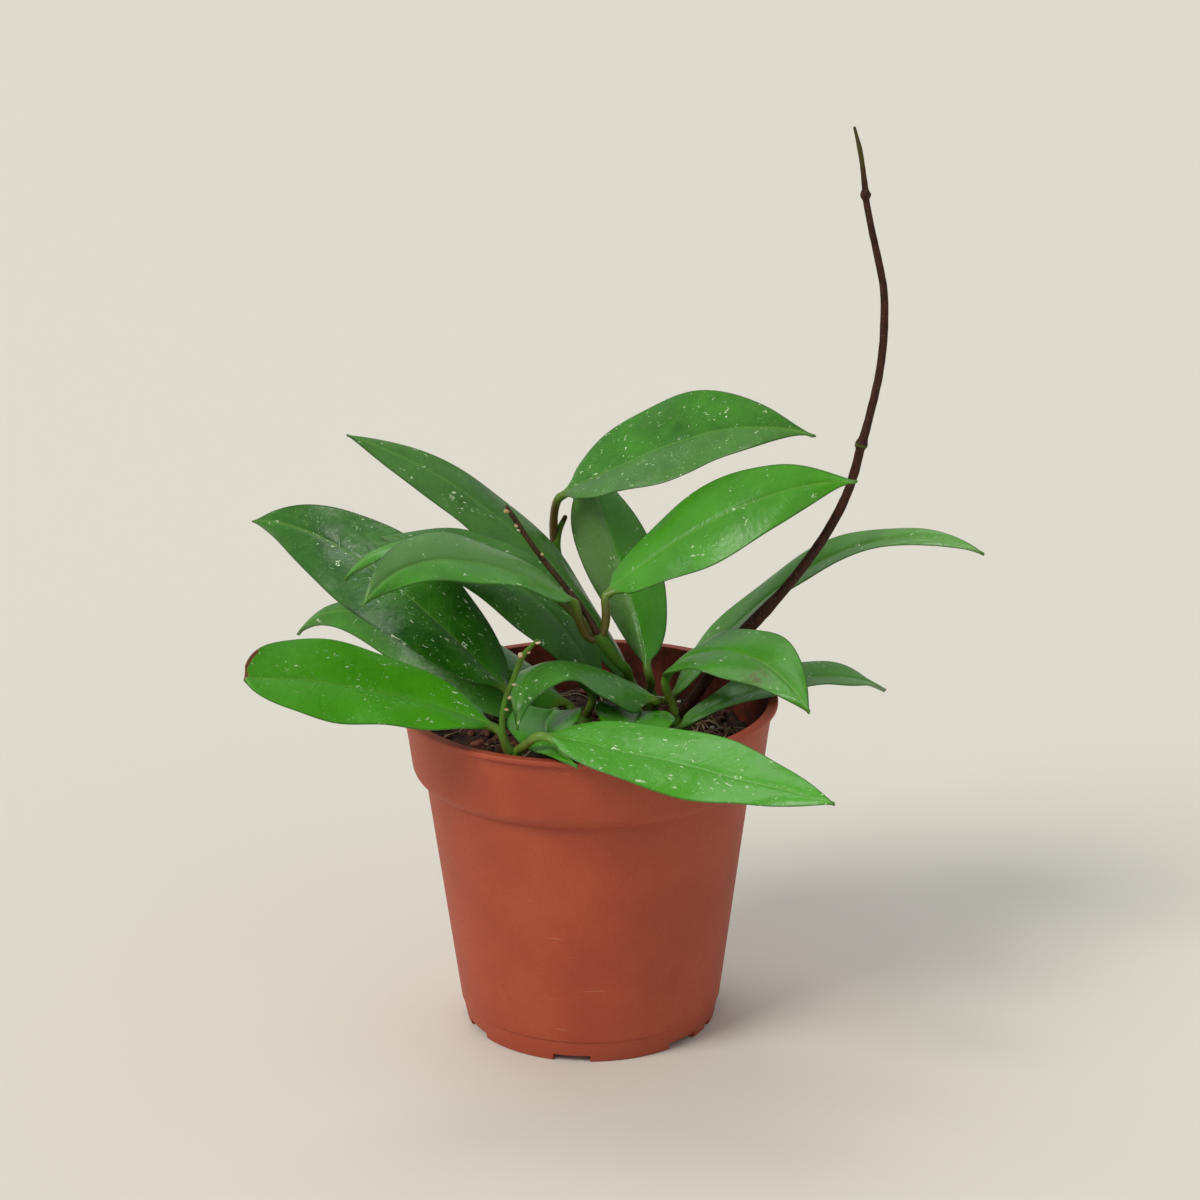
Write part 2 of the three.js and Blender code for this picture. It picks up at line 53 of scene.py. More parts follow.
# The pot: a banded rim with a thin lip, a step, a tapering body and a notched foot.
POT_HEIGHT = pot_high.z / MM
LIP_RADIUS = (pot_high.x - pot_low.x) / 2 / MM
LIP_HEIGHT = 1.4
BAND_TOP_RADIUS = LIP_RADIUS - 1.4
BAND_LOW_RADIUS = LIP_RADIUS - 3.8
BAND_LOW_Z = POT_HEIGHT - 16.5
STEP_Z = POT_HEIGHT - 21.2
STEP_RADIUS = LIP_RADIUS - 7.2
STEP_CURVE_RADIUS = 4.8
STEP_CURVE_INSET = 1.2
STEP_CURVE_FROM = -66
STEP_CURVE_TO = -6
STEP_CURVE_PIECES = 8
BODY_STATIONS = (0.15, 0.3, 0.45, 0.6, 0.75, 0.9)
FOOT_TOP_Z = 6.2
FOOT_TOP_RADIUS = 36.7
FOOT_RADIUS = 35.2
FOOT_WIDTH = 2.4
CREASE_DEPTH = 0.5
EDGE_BEVEL = 0.4
EDGE_STEPS = 4
WALL = 1.4
BAND_EXTRA_WALL = 0.2
FOOT_EXTRA_WALL = 0.6
INNER_STEP_DROP = 1
FLOOR_LOW = 2.2
FLOOR_TOP = 3.8
HUB_RADIUS = 0.01
POT_SIDES = 180
POT_SHARP_ANGLE = 32
# Inner edge of the lip: how far out from the wall and down from the top, and 1 if it is inside.
INNER_LIP = ((0.3, 0, 0), (0.05, 0.1, 0.3), (0, 0.5, 1))

NOTCH_HEIGHT = 2
NOTCH_OFFSET = -9
WIDE_NOTCHES = (0, 55, 125, 180, 235, 305)
NARROW_NOTCHES = (76, 104, 256, 284)
WIDE_NOTCH_ANGLE = 17
NARROW_NOTCH_ANGLE = 6
DRAIN_RADIUS = 4
DRAIN_CIRCLE = 22
DRAIN_COUNT = 6
DRAIN_SIDES = 32
CUT_NEAR = 20
CUT_FAR = 60
CUT_OVERSHOOT = 1

SOIL_LEVEL = 80
SOIL_CROWN = 2.5
SOIL_CROWN_REACH = 48
SOIL_RELIEF = 0.9
SOIL_WAVE_RATES = (0.31, 0.27, 0.53, 0.61)
SOIL_WAVE_SHIFT = 1
SOIL_CROSS_WAVE = 0.7
SOIL_FLOOR_GAP = 0.3
SOIL_EDGE_GAP = 0.5
# Gap to the pot's wall at the floor, the foot, the step and the band.
SOIL_WALL_GAPS = (0.6, 1, 0.4, 0.6)
SOIL_SIDES = 150
SOIL_RINGS = 48
# Roughness of the soil: height, rate and octaves of each noise.
SOIL_ROUGHNESS = ((1.1, 0.22, 4), (0.45, 0.9, 3))

# Leaf stalks and blades. The angles place the points of a blade's two faces round its stalk.
PETIOLE_RADIUS = 1.2
PETIOLE_STEPS = 16
PETIOLE_ROUGHNESS = 0.05
PETIOLE_RATE = 0.4
STALK_LOOK = 0.01
STALK_SPROUT = 0.45
STALK_EDGE = 9.0
STALK_TO_BLADE = 16
RIM_ANGLE = 18
FACE_ANGLE = 72
BLADE_THICKNESS = 1.5
BLADE_EDGE_SHARE = 0.3
BLADE_TIP_SHARE = 0.75
BLADE_TIP_HALF_WIDTH = 0.25
BLADE_NECK_SHARE = 0.25
BLADE_STEPS = 66
BLADE_STATIONS = (1, 0.965, 0.91, 0.82, 0.69, 0.55, 0.41, 0.28, 0.18, 0.11, 0.055, 0)
EDGE_ROUND = 0.22
EDGE_WAVE = 0.5
WAVE_RATE = 17
SOFT_SWELL = 0.45
SOFT_LENGTH = 15
SOFT_WIDTH = 9
PILLOW_SHARE = 0.03
GROOVE_WIDTH = 0.55
GROOVE_DEPTH = 0.35
GROOVE_FADE = 5
KEEL_WIDTH = 0.9
KEEL_HEIGHT = 0.3
FOLD_ROUND = 0.006
FOLD_DROP = 0.077
LEAF_SEED_STEP = 37

# Where the dried end of a damaged leaf lies: shares of its length, millimetres from its rim.
SCORCH_FROM = 0.88
SCORCH_FADE = 0.06
SCORCH_START = 1.3
SCORCH_RIM = 1.5
SCORCH_MIDDLE = 0.6
SCORCH_SIDE = 1.5

# Stems, flower stalks and the vine.
STEM_SIDES = 16
STEM_STEPS = 8
STEM_BARK = 0.06
STEM_SEED_STEP = 5
FLOWER_SIDES = 12
FLOWER_BARK = 0.12
VINE_STEPS = 6
VINE_BARK = 0.1
VINE_SEED = 3
TUBE_DOME = (35, 65, 85)
TUBE_LOOK = 0.02
BARK_RATE = 0.45
BARK_ROUND_RATE = 1.3

# Stems: a route from the soil up, (x, y, z, radius) at each point.
STEMS = {
    "stem_middle": [(8, 13, 56, 1.5), (9, 12, 80, 1.5), (11, 7.5, 92, 1.4), (11, 1, 100.5, 1.4),
                    (8, -5.5, 106, 1.45), (3.4, -8, 113.4, 1.8), (2.2, -8.2, 115.5, 1)],
    "stem_tall": [(4, 38, 56, 1.5), (3, 38, 80, 1.6), (-1, 38, 101, 1.4), (-6.5, 37.5, 118, 1.35),
                  (-9, 37, 126, 1.7), (-7.4, 37, 132, 0.9), (-6, 37, 135, 0.7)],
    "stem_back": [(18, 23.5, 56, 1.7), (17.8, 23, 80, 2), (17.5, 23, 85.5, 2.3),
                  (17.5, 23, 88.5, 1.4)],
    "stem_right": [(24, -2, 56, 1.6), (24, -2, 80, 1.8), (24, -2, 86, 2.3), (24, -2, 89, 1.2)],
    "stem_inner": [(18.5, 4.5, 56, 1.6), (18.5, 4.5, 80, 1.8), (18.5, 4.5, 85.8, 2.2),
                   (18.5, 4.5, 88.4, 1.3)],
    "stem_left": [(-2, 5, 56, 1.6), (-1.5, 5, 80, 1.8), (-1, 5, 84.5, 2.3), (-1, 5, 87, 1.3)],
    "stem_low": [(-13, 0, 56, 1.6), (-13, 0, 80, 1.8), (-14, -1, 85.5, 2.3), (-14.5, -1.4, 88, 1.3)],
    "stem_front": [(-15, -30, 60, 1.5), (-16.5, -34, 80, 1.6), (-18.6, -39.6, 89, 1.6),
                   (-19.5, -41.2, 92.3, 1.9), (-20, -41.6, 94.2, 1.1)],
}

# Flower stalks, each growing from one stem.
FLOWER_STALKS = {
    "stem_middle": [(3.4, -8.4, 113.8, 1), (-0.6, -8.5, 121, 0.85), (-7.2, -7, 129.5, 0.8),
                    (-13.4, -6, 137.5, 0.75), (-19.3, -5, 146.4, 0.75), (-21.3, -5, 149.8, 0.45)],
    "stem_front": [(-20, -41.8, 93, 1.2), (-21.3, -42.4, 95.5, 0.95), (-22.4, -42.8, 99.7, 0.85),
                   (-21.9, -43, 106.6, 0.75), (-19.4, -43, 113.5, 0.7), (-16.5, -43, 120.3, 0.75),
                   (-13, -43, 124.3, 0.4)],
}

VINE = [(25.2, 8.8, 56, 1.6), (25.2, 8.5, 80, 1.7), (25.9, 8, 84.8, 1.65), (30.6, 6, 92.5, 1.55),
        (39.8, 3, 107.5, 1.55), (46.4, 1, 115.4, 1.9), (53.8, 0, 124, 1.4), (63.1, -0.5, 136.9, 1.35),
        (68.5, -0.5, 146.5, 1.3), (71.6, -0.5, 154.2, 1.25), (73.9, 0, 163.1, 1.25), (74.2, 0, 164.6, 1.8),
        (74.9, 0, 167, 1.25), (76.7, 0.5, 174.1, 1.15), (78.7, 1, 183.6, 1.1), (79.8, 1.5, 194.4, 1.1),
        (79.6, 2, 206.4, 1.05), (78.1, 2, 214, 1), (76.4, 2, 221.2, 0.95), (74.5, 2, 230.2, 0.9),
        (74.3, 2, 231.8, 1.45), (74.1, 2, 233.9, 0.85), (73.5, 2, 238.4, 0.7), (72.6, 2, 243.6, 0.65),
        (71.1, 2, 249.4, 0.4)]

# Leaves, in millimetres and degrees. foot: where the stalk leaves its stem; sprout: bearing and slope
# of the stalk there; ease: share of the stalk in line with the blade; base: where the blade starts;
# heading and turn: bearing of the blade at its base and how far it swings; rise and droop: its slope
# at base and tip; bend: where along it the slope changes, late if high; roll: tilt about the midrib at
# base and tip; fold: trough (+) or arch (-); full and taper: how the outline fills out and closes.
# tone: 0 dark to 1 bright green, the leaf's own green with painted light and shade, raised
# where the leaf lies in shade; grey: a painted pale sheen of light glancing off the blade;
# cast: the side that the painted sheen favours; flecks: how many silver flecks; brown: how brown the stalk
# is;
# burn: 1 if the tip's rim has dried; blot: where a brown
# blot lies along and across the blade, and its size.
LEAVES = {
    "leaf_top": dict(
        foot=(-9, 37, 126), ease=0.12, sprout=(180, 84), base=(-7.1, 31.3, 142.6), length=89, width=34,
        heading=-9, turn=-47, rise=30, droop=-3, bend=1.85, roll=(-13, -72), fold=11, full=0.76, taper=1.6,
        tone=0.45, grey=0.25, cast=1, flecks=0.6, brown=0.9),
    "leaf_upper_right": dict(
        foot=(3.4, -8, 113.4), ease=0.1, sprout=(0, 55), base=(5.2, -8.1, 125.4), length=84, width=27,
        heading=19, turn=-75, rise=36, droop=8, bend=2, roll=(1, -95), fold=-2, full=0.7, taper=1.4,
        tone=0.8, grey=0.05, flecks=0.45, brown=0.75),
    "leaf_back": dict(
        foot=(17.5, 23, 86.8), sprout=(-70, 60), base=(16.7, 14.6, 97.3), length=57, width=26, heading=105,
        turn=46, rise=52, droop=71, bend=0.95, roll=(48, 40), fold=-39, full=0.76, taper=0.56,
        tone=0.8, grey=0.8, cast=-1, flecks=0.35, brown=0.1),
    "leaf_long": dict(
        foot=(17.5, 23, 83), sprout=(200, 15), base=(13.9, 20.7, 88.5), length=112, width=22.5, heading=176,
        turn=3, rise=62, droop=19, bend=1.24, roll=(3, 44), fold=-10, full=0.62, taper=0.93,
        tone=0.45, grey=0.5, flecks=0.4),
    "leaf_left": dict(
        foot=(-14, -1, 85), sprout=(200, 40), base=(-21.8, -5.7, 97.1), length=105, width=30, heading=154,
        turn=-23, rise=39, droop=-14, bend=1.67, roll=(-5, 69), fold=4, full=0.55, taper=1.03,
        tone=0.22, grey=0, flecks=0.6),
    "leaf_centre": dict(
        foot=(3.4, -8, 113.4), ease=0.1, sprout=(185, -25), base=(-3.5, -11.3, 124.5), length=86, width=22,
        heading=202, turn=51, rise=33, droop=-18, bend=1.46, roll=(13, 43), fold=8, full=0.67, taper=1.22,
        tone=0.85, grey=0.6, cast=1, flecks=0.35, brown=0.8),
    "leaf_small": dict(
        foot=(4.6, -7.2, 111.4), sprout=(130, 25), base=(-14.6, -5.1, 128.6), length=61, width=14.6,
        heading=196, turn=23, rise=34, droop=-46, bend=2.1, roll=(-27, -4), fold=-16, full=0.63, taper=1.05,
        tone=0.8, grey=0.2, flecks=0.2),
    "leaf_under": dict(
        foot=(-1, 5, 84.3), sprout=(180, 10), base=(-6, 7.5, 89.3), length=98, width=28, heading=172,
        turn=-41, rise=25, droop=-50, bend=2.6, roll=(12, 55), fold=-22, full=0.41, taper=1.26,
        tone=0.6, grey=0.2, flecks=0.35),
    "leaf_low_left": dict(
        foot=(-18.9, -40.2, 90.1), sprout=(170, 30), base=(-24.8, -38, 98.6), length=71, width=29,
        heading=177, turn=44, rise=23, droop=13, bend=0.9, roll=(12, 44), fold=7, full=0.68, taper=0.55,
        tone=1, grey=0, flecks=0.45, brown=0.3, burn=1),
    "leaf_dark": dict(
        foot=(-1, 5, 86), sprout=(-30, 60), base=(1.1, 3.2, 91), length=81, width=26, heading=180, turn=0,
        rise=105, droop=8, bend=0.5, roll=(54, 7), fold=4, full=0.95, taper=0.75,
        tone=0.35, grey=0.25, flecks=0.4),
    "leaf_arched": dict(
        foot=(18.5, 4.4, 87.8), ease=0.12, sprout=(-85, 60), base=(17.9, -8.2, 95.5), length=62.5,
        width=23.5, heading=184.5, turn=80, rise=33, droop=-77, bend=2.6, roll=(16.5, -10.5), fold=-20,
        full=0.55, taper=1.15,
        tone=0.65, grey=0.2, flecks=0.6, brown=0.2),
    "leaf_front_right": dict(
        foot=(24, -2, 87), ease=0.25, sprout=(60, 84), base=(21.4, -3, 99.6), length=62, width=24.5,
        heading=-32, turn=-34, rise=69, droop=-29, bend=0.54, roll=(-5, -29), fold=4, full=0.73, taper=1.19,
        tone=0.75, grey=0.2, flecks=0.4, brown=0.05, blot=(43, 5, 3)),
    "leaf_far_right": dict(
        foot=(17.5, 23, 85), ease=0.1, sprout=(-30, 5), base=(23.5, 20.9, 85.3), length=113.5, width=18.2,
        heading=-2, turn=-42, rise=52, droop=-14, bend=1.95, roll=(-9, -28), fold=12, full=0.44, taper=1.07,
        tone=0.95, grey=0.8, flecks=0.3, brown=0.1),
    "leaf_low_right": dict(
        foot=(24, -2, 84), sprout=(-70, 10), base=(24.1, -7.7, 86.3), length=72, width=18, heading=16,
        turn=23, rise=27, droop=-32, bend=1.2, roll=(8, -18), fold=13, full=0.68, taper=0.85,
        tone=0.7, grey=0.4, flecks=0.2, brown=0.1),
    "leaf_front": dict(
        foot=(-19.5, -41.2, 92.9), ease=0.2, sprout=(-42, 30), base=(-11.7, -48.2, 99.7), length=82,
        width=27, heading=-2, turn=-43, rise=-11, droop=3, bend=1.34, roll=(-6, -33), fold=5, full=0.67,
        taper=1.13,
        tone=1, grey=0, flecks=0.7, brown=0.05),
    "leaf_over_rim": dict(
        foot=(-13, 0, 83), sprout=(-40, 40), base=(-9.2, -11, 93.2), length=49, width=21.5, heading=-104.5,
        turn=44, rise=5.6, droop=-1, bend=0.92, roll=(0, -30), fold=16, full=0.48, taper=1.4,
        tone=1, grey=0, flecks=0.35, brown=0.2),
    "leaf_inner": dict(
        foot=(18.5, 4.5, 84), ease=0.2, sprout=(200, 40), base=(13.9, -6, 90.9), length=34, width=22.5,
        heading=-97, turn=-2, rise=9, droop=-13, bend=1.3, roll=(9, 8), fold=14, full=0.52, taper=1.1,
        tone=1, grey=0.1, flecks=0.3, brown=0.1),
}

# ---- Camera ----
CAMERA_DISTANCE = 813
CAMERA_ELEVATION = 21.31
CAMERA_TARGET_HEIGHT = 60
CAMERA_YAW = 0.27
CAMERA_PITCH = 4.16
CAMERA_ROLL = -0.48
CAMERA_LENS = 87
CAMERA_SENSOR = 36
CAMERA_REACH_M = 50


def add_object(name, data):
    thing = bpy.data.objects.new(name, data)
    bpy.context.scene.collection.objects.link(thing)
    return thing


def add_camera():
    data = bpy.data.cameras.new("camera")
    data.lens = CAMERA_LENS
    data.sensor_width = CAMERA_SENSOR
    data.clip_end = CAMERA_REACH_M
    camera = add_object("camera", data)
    elevation = radians(CAMERA_ELEVATION)
    place = Vector((0, -CAMERA_DISTANCE * cos(elevation),
                    CAMERA_DISTANCE * sin(elevation) + CAMERA_TARGET_HEIGHT))
    look_up = radians(CAMERA_PITCH) - elevation
    yaw = radians(CAMERA_YAW)
    forward = Vector((sin(yaw) * cos(look_up), cos(yaw) * cos(look_up), sin(look_up)))
    right = forward.cross(Vector((0, 0, 1))).normalized()
    up = right.cross(forward)
    roll = radians(CAMERA_ROLL)
    turned_right = cos(roll) * right + sin(roll) * up
    turned_up = -sin(roll) * right + cos(roll) * up
    turn = Matrix((turned_right, turned_up, -forward)).transposed().to_4x4()
    camera.matrix_world = Matrix.Translation(place * MM + AXIS) @ turn
    bpy.context.scene.camera = camera


add_camera()


# ---- Small tools ----
def mix(a, b, k):
    return a + (b - a) * k


def smooth(k):
    """An even step from 0 to 1 that starts and ends gently."""
    k = min(max(k, 0), 1)
    return k * k * (3 - 2 * k)


def bearing(heading, rise):
    """The direction with this compass bearing, from +X towards +Y, and this slope, in degrees."""
    h, r = radians(heading), radians(rise)
    return Vector((cos(r) * cos(h), cos(r) * sin(h), sin(r)))


def rgb(red, green, blue):
    """A colour as eyes read it, 0 to 255, in the linear numbers that shaders take."""
    parts = [c / 255 for c in (red, green, blue)]
    return tuple(c / 12.92 if c <= 0.04045 else ((c + 0.055) / 1.055) ** 2.4 for c in parts) + (1,)


def build(name, points, faces, attributes=None, sharp=None):
    """A mesh object from points in millimetres about the pot's axis, smooth up to the sharp angle."""
    mesh = bpy.data.meshes.new(name)
    mesh.from_pydata([p * MM + AXIS for p in points], [], faces)
    for key, values in (attributes or {}).items():
        mesh.attributes.new(key, "FLOAT", "POINT").data.foreach_set("value", values)
    work = bmesh.new()
    work.from_mesh(mesh)
    bmesh.ops.recalc_face_normals(work, faces=work.faces)
    work.to_mesh(mesh)
    work.free()
    mesh.shade_smooth()
    if sharp:
        mesh.set_sharp_from_angle(angle=radians(sharp))
    return add_object(name, mesh)


def finish_piece(piece, material, slot, *nodes):
    """Gives a piece its material, hangs it on the root body and hides the CAD nodes it stands for."""
    piece.data.materials.clear()
    piece.data.materials.append(material)
    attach(piece, "root")
    if nodes:
        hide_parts(*nodes)


def circle(radius, z, sides, centre=(0, 0)):
    """A level ring of points."""
    turns = [tau * k / sides for k in range(sides)]
    return [Vector((centre[0] + radius * cos(a), centre[1] + radius * sin(a), z)) for a in turns]


def skin(rings):
    """Points and faces of a stack of equal rings with both ends closed by a fan."""
    count = len(rings[0])
    points = [p for ring in rings for p in ring]
    faces = []
    for i in range(len(rings) - 1):
        for k in range(count):
            a, b = i * count + k, i * count + (k + 1) % count
            faces.append((a, b, b + count, a + count))
    for first, ring in ((0, rings[0]), ((len(rings) - 1) * count, rings[-1])):
        points.append(sum(ring, Vector()) / count)
        faces += [(len(points) - 1, first + k, first + (k + 1) % count) for k in range(count)]
    return points, faces


def join(shapes):
    """Points and faces of several shapes as one."""
    points, faces = [], []
    for more, more_faces in shapes:
        faces += [tuple(i + len(points) for i in face) for face in more_faces]
        points += more
    return points, faces


def spline(route, along):
    """Point on a centripetal spline through the route; along counts its spans."""
    spots = [Vector(p[:3]) for p in route]
    span = min(int(along), len(spots) - 2)
    k = along - span
    before = spots[span - 1] if span > 0 else spots[0] * 2 - spots[1]
    after = spots[span + 2] if span + 2 < len(spots) else spots[-1] * 2 - spots[-2]
    a, b = spots[span], spots[span + 1]
    gaps = [max((q - p).length, 1e-4) ** 0.5 for p, q in ((before, a), (a, b), (b, after))]
    slope_a = ((a - before) / gaps[0] - (b - before) / (gaps[0] + gaps[1]) + (b - a) / gaps[1]) * gaps[1]
    slope_b = ((b - a) / gaps[1] - (after - a) / (gaps[1] + gaps[2]) + (after - b) / gaps[2]) * gaps[1]
    return (a + slope_a * k + (3 * (b - a) - 2 * slope_a - slope_b) * k ** 2
            + (2 * (a - b) + slope_a + slope_b) * k ** 3)


def tube_rings(route, sides, steps, bark=0.0, seed=0.0):
    """Round rings along a route whose points carry their own radius, with a domed end."""
    total = (len(route) - 1) * steps
    rings = []
    side = Vector((1, 0, 0))
    for i in range(total + 1):
        along = i / steps
        span = min(int(along), len(route) - 2)
        radius = mix(route[span][3], route[span + 1][3], smooth(along - span))
        centre = spline(route, along)
        tangent = (spline(route, min(along + TUBE_LOOK, total / steps))
                   - spline(route, max(along - TUBE_LOOK, 0))).normalized()
        side = (side - tangent * side.dot(tangent)).normalized()
        up = tangent.cross(side)
        ring = []
        for k in range(sides):
            angle = tau * k / sides
            out = side * cos(angle) + up * sin(angle)
            rough = 1 + bark * noise.noise(centre * BARK_RATE + out * BARK_ROUND_RATE + Vector((seed, 0, 0)))
            ring.append(centre + out * radius * rough)
        rings.append(ring)
    for lean in TUBE_DOME:
        lift = tangent * route[-1][3] * sin(radians(lean))
        rings.append([centre + (p - centre) * cos(radians(lean)) + lift for p in rings[total]])
    return rings


# ---- Colours ----
LEAF_DEEP = rgb(14, 62, 6)
LEAF_FRESH = rgb(68, 152, 14)
LEAF_STREAK = rgb(96, 148, 32)
# Painted sheen: a pale grey-green that stands in for light glancing off the waxy blade.
LEAF_PAINTED_SHEEN = rgb(106, 138, 84)
LEAF_VEIN = rgb(92, 156, 50)
LEAF_MIDRIB = rgb(112, 158, 62)
LEAF_FLECK = rgb(206, 228, 184)
LEAF_MARGIN = rgb(36, 52, 12)
LEAF_BELOW = (rgb(64, 112, 40), rgb(80, 128, 50))
DRYING_YELLOW = rgb(140, 140, 50)
DRIED_BROWN = rgb(112, 66, 34)
BLOT_BROWN = rgb(92, 62, 26)
STALK_GREEN = rgb(104, 136, 44)
STALK_BROWN = rgb(92, 58, 26)
STALK_PATCH = rgb(76, 62, 26)
STALK_TOP = rgb(92, 140, 40)
# Fresh green, dark bark and light bark.
STEM_BARK_COLOURS = (rgb(72, 122, 26), rgb(44, 28, 14), rgb(82, 56, 28))
VINE_BARK_COLOURS = (rgb(74, 92, 26), rgb(34, 13, 6), rgb(72, 34, 18))
BARK_PORE = rgb(160, 138, 92)
SCAR_COLOURS = (rgb(196, 160, 104), rgb(238, 222, 180))
POT_COLOURS = (rgb(160, 66, 40), rgb(176, 78, 48))
POT_SPECK = rgb(142, 58, 36)
POT_SCUFF = rgb(204, 136, 108)
POT_SCRATCH = rgb(205, 140, 112)
POT_GRIME = rgb(96, 50, 36)
# Painted shade: the inside wall, in darker colours for the shade inside the pot.
POT_INSIDE_SHADE = (rgb(140, 56, 34), rgb(96, 42, 27))
SOIL_COLOURS = (rgb(44, 24, 16), rgb(104, 62, 42))
SOIL_FLECK = rgb(126, 92, 66)
SOIL_SHADE = rgb(28, 18, 14)
CRUMB_GRAIN = rgb(60, 40, 30)
ROOT_COLOURS = (rgb(168, 136, 96), rgb(222, 200, 158))
FLOOR_COLOUR = rgb(220, 215, 202)


# ---- Materials ----
class Graph:
    """A material's node graph, built from its shader back."""

    def __init__(self, name):
        self.material = bpy.data.materials.new(name)
        self.material.use_nodes = True
        self.tree = self.material.node_tree
        self.tree.nodes.clear()
        self.shader = self.tree.nodes.new("ShaderNodeBsdfPrincipled")
        output = self.tree.nodes.new("ShaderNodeOutputMaterial")
        self.tree.links.new(self.shader.outputs[0], output.inputs[0])

    def put(self, socket, value):
        if isinstance(value, bpy.types.NodeSocket):
            self.tree.links.new(value, socket)
        else:
            socket.default_value = value

    def surface(self, colour, roughness, specular=None):
        self.put(self.shader.inputs["Base Color"], colour)
        self.put(self.shader.inputs["Roughness"], roughness)
        if specular is not None:
            self.shader.inputs["Specular IOR Level"].default_value = specular

    def node(self, kind, inputs, **settings):
        """The outputs of a new node; its inputs are set or linked by name or number."""
        node = self.tree.nodes.new("ShaderNode" + kind)
        for key, value in settings.items():
            setattr(node, key, value)
        for key, value in inputs.items():
            self.put(node.inputs[key], value)
        return node.outputs

    def math(self, operation, a, b=0.0, clamp=False):
        return self.node("Math", {0: a, 1: b}, operation=operation, use_clamp=clamp)[0]

    def plus(self, a, b):
        return self.math("ADD", a, b)

    def times(self, a, b):
        return self.math("MULTIPLY", a, b)

    def swing(self, value, amount):
        """A noise moved to swing about zero, by half the amount each way."""
        return self.times(self.math("SUBTRACT", value, 0.5), amount)

    def mix(self, factor, a, b):
        return self.node("Mix", {0: factor, 6: a, 7: b}, data_type="RGBA")[2]

    def step(self, value, low, high, start=0.0, end=1.0):
        """Goes smoothly from start to end as the value goes from low to high."""
        inputs = {"Value": value, "From Min": low, "From Max": high, "To Min": start, "To Max": end}
        return self.node("MapRange", inputs, interpolation_type="SMOOTHSTEP")[0]

    def attribute(self, name):
        return self.node("Attribute", {}, attribute_name=name)["Fac"]

    def combine(self, x, y, z):
        return self.node("CombineXYZ", {0: x, 1: y, 2: z})[0]

    def place(self, stretch=(1, 1, 1)):
        """The surface point in millimetres, stretched."""
        point = self.node("TexCoord", {})["Object"]
        return self.node("VectorMath", {0: point, 1: [s / MM for s in stretch]}, operation="MULTIPLY")[0]

    def height(self, vector):
        return self.node("SeparateXYZ", {0: vector})[2]

    def noise(self, vector, size, detail=3.0, roughness=0.55, distortion=0.0):
        """Noise whose lumps are about size millimetres across."""
        inputs = {"Vector": vector, "Scale": 1 / size, "Detail": detail, "Roughness": roughness,
                  "Distortion": distortion}
        return self.node("TexNoise", inputs)[0]

    def cells(self, vector, size):
        """Distance to the middle of the nearest cell, in a field of cells of this size."""
        return self.node("TexVoronoi", {"Vector": vector, "Scale": 1 / size})[0]

    def bump(self, height, depth):
        """Raises the surface by height times depth millimetres."""
        inputs = {"Height": height, "Distance": depth * MM, "Strength": 1}
        self.put(self.shader.inputs["Normal"], self.node("Bump", inputs)[0])


def leaf_ground(g, across, clouds, fine):
    """Cloudy, finely streaked green, with painted light in its tone and a painted sheen that may favour one
    side.
    """
    # depth: the leaf's own green with painted light and shade, since tone is set brighter on leaves that lie
    # in shade.
    depth = g.math("ADD", g.attribute("tone"), g.swing(clouds, 0.9), clamp=True)
    green = g.mix(depth, LEAF_DEEP, LEAF_FRESH)
    green = g.mix(g.times(g.step(fine, 0.35, 0.75), 0.12), green, LEAF_STREAK)
    sided = g.step(g.times(across, g.attribute("cast")), -1.2, 1.2, 0.1, 1)
    # silver is painted sheen, pale where light would glance off the blade, not a colour of the leaf itself.
    silver = g.times(g.times(g.attribute("grey"), sided), g.step(clouds, 0.15, 0.6, 0.5, 1))
    return g.mix(silver, green, LEAF_PAINTED_SHEEN)


def leaf_veins(g, spot, along, width):
    """1 on the side veins, which leave the midrib at a slant."""
    wander = g.times(g.noise(spot, 9, 2), 3)
    path = g.plus(g.math("SUBTRACT", along, g.times(width, 0.9)), wander)
    turn = g.math("PINGPONG", path, 4.2)
    return g.times(g.step(turn, 0.0, 0.5, 1, 0), g.step(width, 0.5, 9, 0.5, 0.1))


def leaf_flecks(g, spot, long_spot):
    """1 on the silver flecks, which lie in loose drifts with fine dust among them."""
    drift = g.plus(g.noise(spot, 8, 2), g.times(g.attribute("flecks"), 0.25))
    dots = g.noise(long_spot, 1.15, 3, 0.6, 0.6)
    fleck = g.times(g.step(dots, 0.635, 0.675), g.step(drift, 0.6, 0.7))
    dust = g.times(g.step(g.noise(spot, 0.5, 1), 0.7, 0.76), g.step(drift, 0.45, 0.7))
    return g.math("MAXIMUM", fleck, g.times(dust, 0.6))


def leaf_damage(g, spot, green):
    """Adds the dried end of a damaged leaf, with a yellow edge to the green, and a brown blot."""
    ragged = g.plus(g.attribute("burn"), g.swing(g.noise(spot, 5, 4, 0.7), 0.9))
    green = g.mix(g.step(ragged, 0.4, 0.5), green, DRYING_YELLOW)
    green = g.mix(g.step(ragged, 0.5, 0.62), green, DRIED_BROWN)
    stain = g.times(g.attribute("blot"), g.step(g.noise(spot, 1.5, 3), 0.3, 0.6))
    return g.mix(g.times(stain, 0.75), green, BLOT_BROWN)


def leaf_stalk(g, spot, along):
    """Green to brown, as the leaf says, with darker patches and a green end at the blade."""
    stalk = g.mix(g.attribute("brown"), STALK_GREEN, STALK_BROWN)
    stalk = g.mix(g.times(g.step(g.noise(spot, 3, 3), 0.35, 0.7), 0.5), stalk, STALK_PATCH)
    return g.mix(g.times(g.step(along, -7, 0), 0.6), stalk, STALK_TOP)


